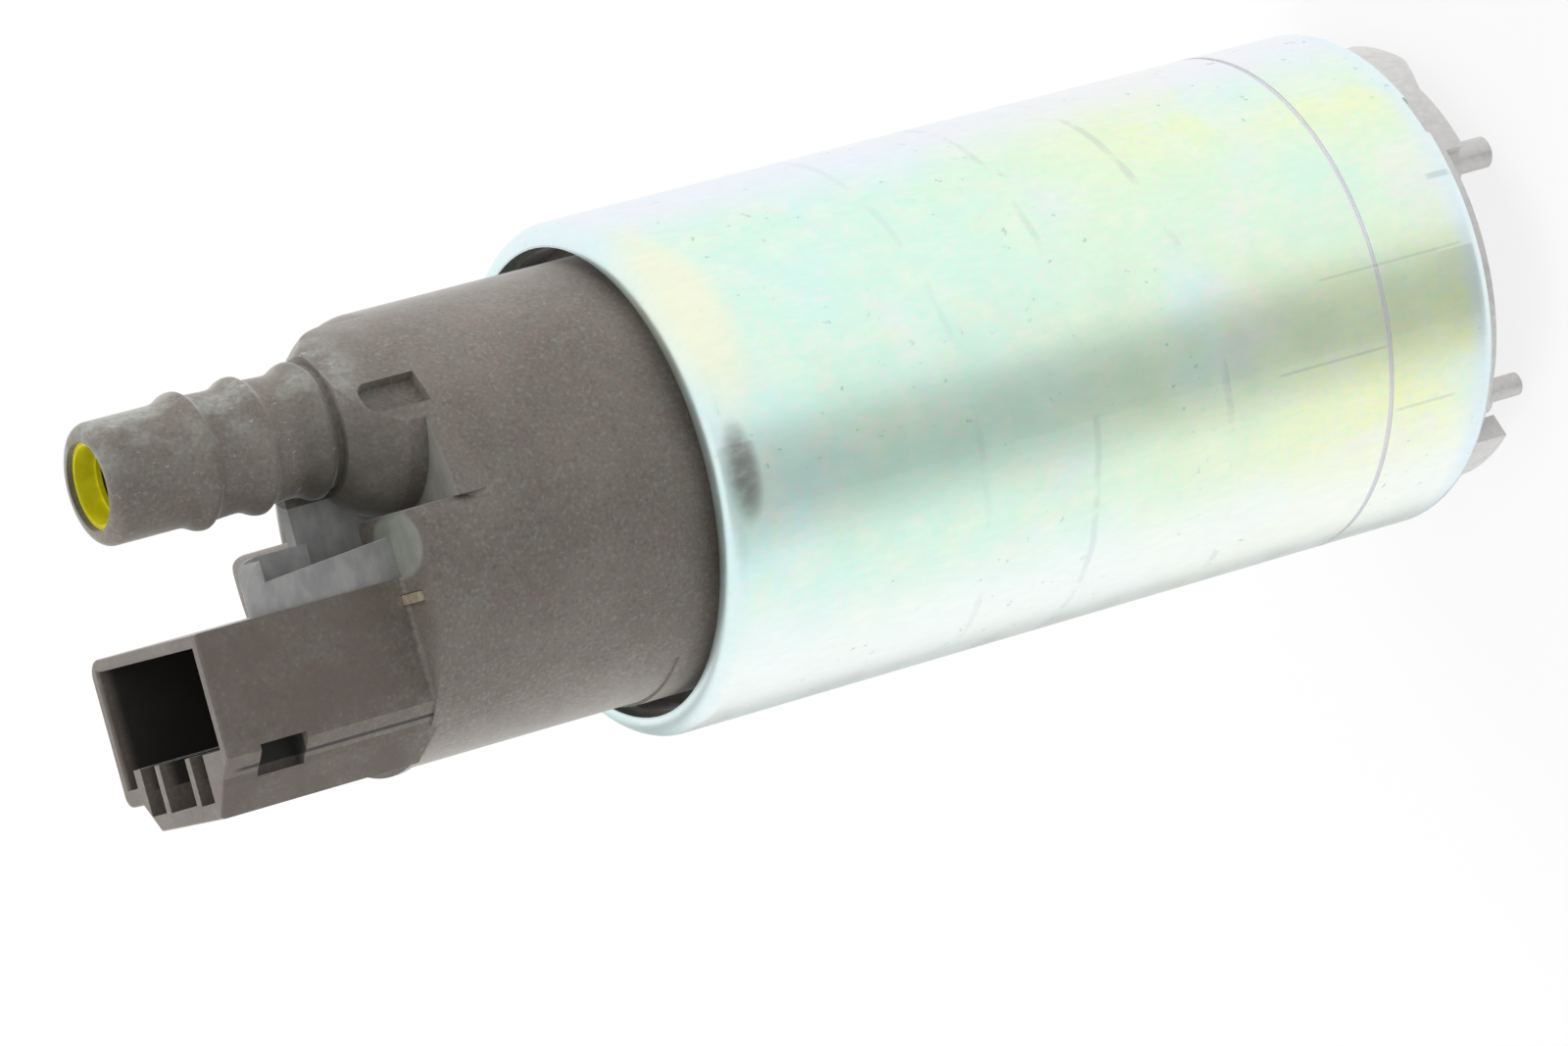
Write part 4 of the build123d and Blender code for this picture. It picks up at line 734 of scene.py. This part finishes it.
# %% One stretch of turns
def stretch_of_turns(coil_radius, wire, height, pitch, turns):
    """A tube that winds up round the Z axis from that height."""
    bpy.ops.mesh.primitive_circle_add(
        vertices=10, radius=wire / 2, location=(coil_radius, 0, height), rotation=(math.radians(90), 0, 0)
    )
    stretch = bpy.context.active_object
    bpy.ops.object.transform_apply(location=True, rotation=True, scale=True)
    screw = stretch.modifiers.new("turns", "SCREW")
    screw.axis = "Z"
    screw.screw_offset = pitch
    screw.iterations = turns
    screw.steps = 32
    screw.render_steps = 32
    bpy.ops.object.modifier_apply(modifier=screw.name)
    return stretch


print("stretch ready")

# %% Coil springs with closed ends
def coil_spring(node, wire, turns):
    """A closed-end spring in a CAD spring's place, carried by the casing."""
    low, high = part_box(node)
    length = high.z - low.z
    middle = (low + high) / 2
    coil_radius = (high.x - low.x) / 2 - wire / 2
    close_pitch = 1.06 * wire
    open_turns = turns - 2
    open_pitch = (length - wire - 2 * close_pitch) / open_turns
    foot = low.z + wire / 2
    open_start = foot + close_pitch
    open_end = open_start + open_turns * open_pitch
    stretches = [
        stretch_of_turns(coil_radius, wire, foot, close_pitch, 1),
        stretch_of_turns(coil_radius, wire, open_start, open_pitch, open_turns),
        stretch_of_turns(coil_radius, wire, open_end, close_pitch, 1),
    ]
    bpy.ops.object.select_all(action="DESELECT")
    for stretch in stretches:
        stretch.select_set(True)
    bpy.context.view_layer.objects.active = stretches[0]
    bpy.ops.object.join()
    spring = bpy.context.active_object
    spring.name = node + "_coil"
    bpy.ops.object.mode_set(mode="EDIT")
    bpy.ops.mesh.select_all(action="SELECT")
    bpy.ops.mesh.remove_doubles(threshold=0.001 * mm)
    bpy.ops.mesh.fill_holes(sides=12)
    bpy.ops.mesh.select_all(action="SELECT")
    bpy.ops.mesh.normals_make_consistent(inside=False)
    bpy.ops.transform.translate(value=(middle.x, middle.y, 0))
    bpy.ops.object.mode_set(mode="OBJECT")
    bpy.ops.object.shade_smooth_by_angle(angle=math.radians(50))
    spring.data.materials.append(spring_wire)
    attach(spring, "casing")
    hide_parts(node)
    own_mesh(spring)
    bpy.ops.object.select_all(action="DESELECT")
    return spring


springs = [
    coil_spring("valve_spring", 0.40 * mm, 4),
    coil_spring("brush_spring_positive", 0.45 * mm, 8),
    coil_spring("brush_spring_negative", 0.45 * mm, 8),
]
print("springs:", [(spring.name, len(spring.data.polygons)) for spring in springs])

# %% [markdown]
# Three finishes have a pattern with a direction: turned steel has fine rings round its axis, the
# core is a stack of thin sheets, and the windings are turns of wire. Real rings, sheets and turns
# could be modelled by the hundred, but they are thinner than the gap between two dots of the
# picture, so they are stripes along Z at the real pitch.

# %% Striped finishes of the rotor
def striped_finish(name, light, dark, metallic, roughness, pitch, depth, names):
    """A finish with level stripes at that pitch, as of stacked sheets or turned rings."""
    material, tree, shader = new_material(name, light, metallic, roughness)
    place, _, _, z = object_place(tree)
    wave = sums(tree, "SINE", times(tree, z, 2 * math.pi / pitch))
    stripe = ramp(tree, wave, -0.9, 0.2)
    broken = times(tree, stripe, patches(tree, place, 2 * mm, 0.2, 0.8, 0.75, 1.0))
    tree.links.new(blend(tree, broken, dark, light), shader.inputs["Base Color"])
    bump(tree, shader, stripe, depth, 0.5)
    dress(names, material)


turned_pieces = ["shaft", "upper_washer", "thrust_button"]
wound_pieces = ["winding", "choke_coil_positive", "choke_coil_negative"]
steel_light, steel_dark = (0.58, 0.58, 0.59), (0.50, 0.50, 0.51)
sheet_light, sheet_dark = (0.30, 0.30, 0.32), (0.10, 0.10, 0.11)
wire_light, wire_dark = (0.66, 0.26, 0.10), (0.24, 0.07, 0.03)
striped_finish("turned_steel", steel_light, steel_dark, 1.0, 0.24, 0.25 * mm, 0.004 * mm, turned_pieces)
striped_finish("core_sheets", sheet_light, sheet_dark, 1.0, 0.42, 0.5 * mm, 0.04 * mm, ["armature_core"])
striped_finish("enamelled_copper", wire_light, wire_dark, 1.0, 0.30, 0.6 * mm, 0.1 * mm, wound_pieces)
print("striped finishes: 3")

# %% [markdown]
# The commutator's face and the brushes are pressed from carbon and copper powder: sooty black,
# with copper grains that shine where the face is worn. The grains are noise cut off near its top,
# and the same noise makes them metallic.

# %% Carbon with copper flecks
carbon, tree, shader = new_material("pressed_carbon", (0.03, 0.03, 0.033), 0.0, 0.48)
place = object_place(tree)[0]
copper_flecks = patches(tree, place, 0.22 * mm, 0.66, 0.72, detail=2.0)
soot_clouds = patches(tree, place, 0.9 * mm, 0.3, 0.7)
soot = blend(tree, soot_clouds, (0.022, 0.022, 0.024), (0.042, 0.041, 0.042))
flecked = blend(tree, times(tree, copper_flecks, 0.7), soot, (0.40, 0.17, 0.08))
tree.links.new(flecked, shader.inputs["Base Color"])
tree.links.new(copper_flecks, shader.inputs["Metallic"])
bump(tree, shader, noise(tree, place, 0.3 * mm, 2.0), 0.01 * mm, 0.4)
dress(["commutator", "brush_positive", "brush_negative"], carbon)
print("carbon pieces: 3")

# %% [markdown]
# The yellow cage in the outlet's mouth is a thin moulding, so light passes into its rim. It is
# brightest at the front and turns olive deeper in. Light could be let through the plastic, but
# that is slow and noisy for so small a rim, so the colour turns along the axis instead.

# %% Yellow cage
yellow, tree, shader = new_material("yellow_plastic", (0.72, 0.66, 0.010), 0.0, 0.42)
place, _, _, z = object_place(tree)
cloud = patches(tree, place, 1.2 * mm, 0.3, 0.7)
tone = blend(tree, cloud, (0.68, 0.63, 0.008), (0.80, 0.75, 0.020))
depth = ramp(tree, z, outlet_tip - 9 * mm, outlet_tip - 2.5 * mm, 0.75, 0.0)
tone = blend(tree, depth, tone, (0.22, 0.21, 0.008))
tree.links.new(tone, shader.inputs["Base Color"])
bump(tree, shader, noise(tree, place, 0.5 * mm, 2.0), 0.01 * mm, 0.3)
dress(["valve_cage"], yellow)
print("materials:", len(bpy.data.materials))
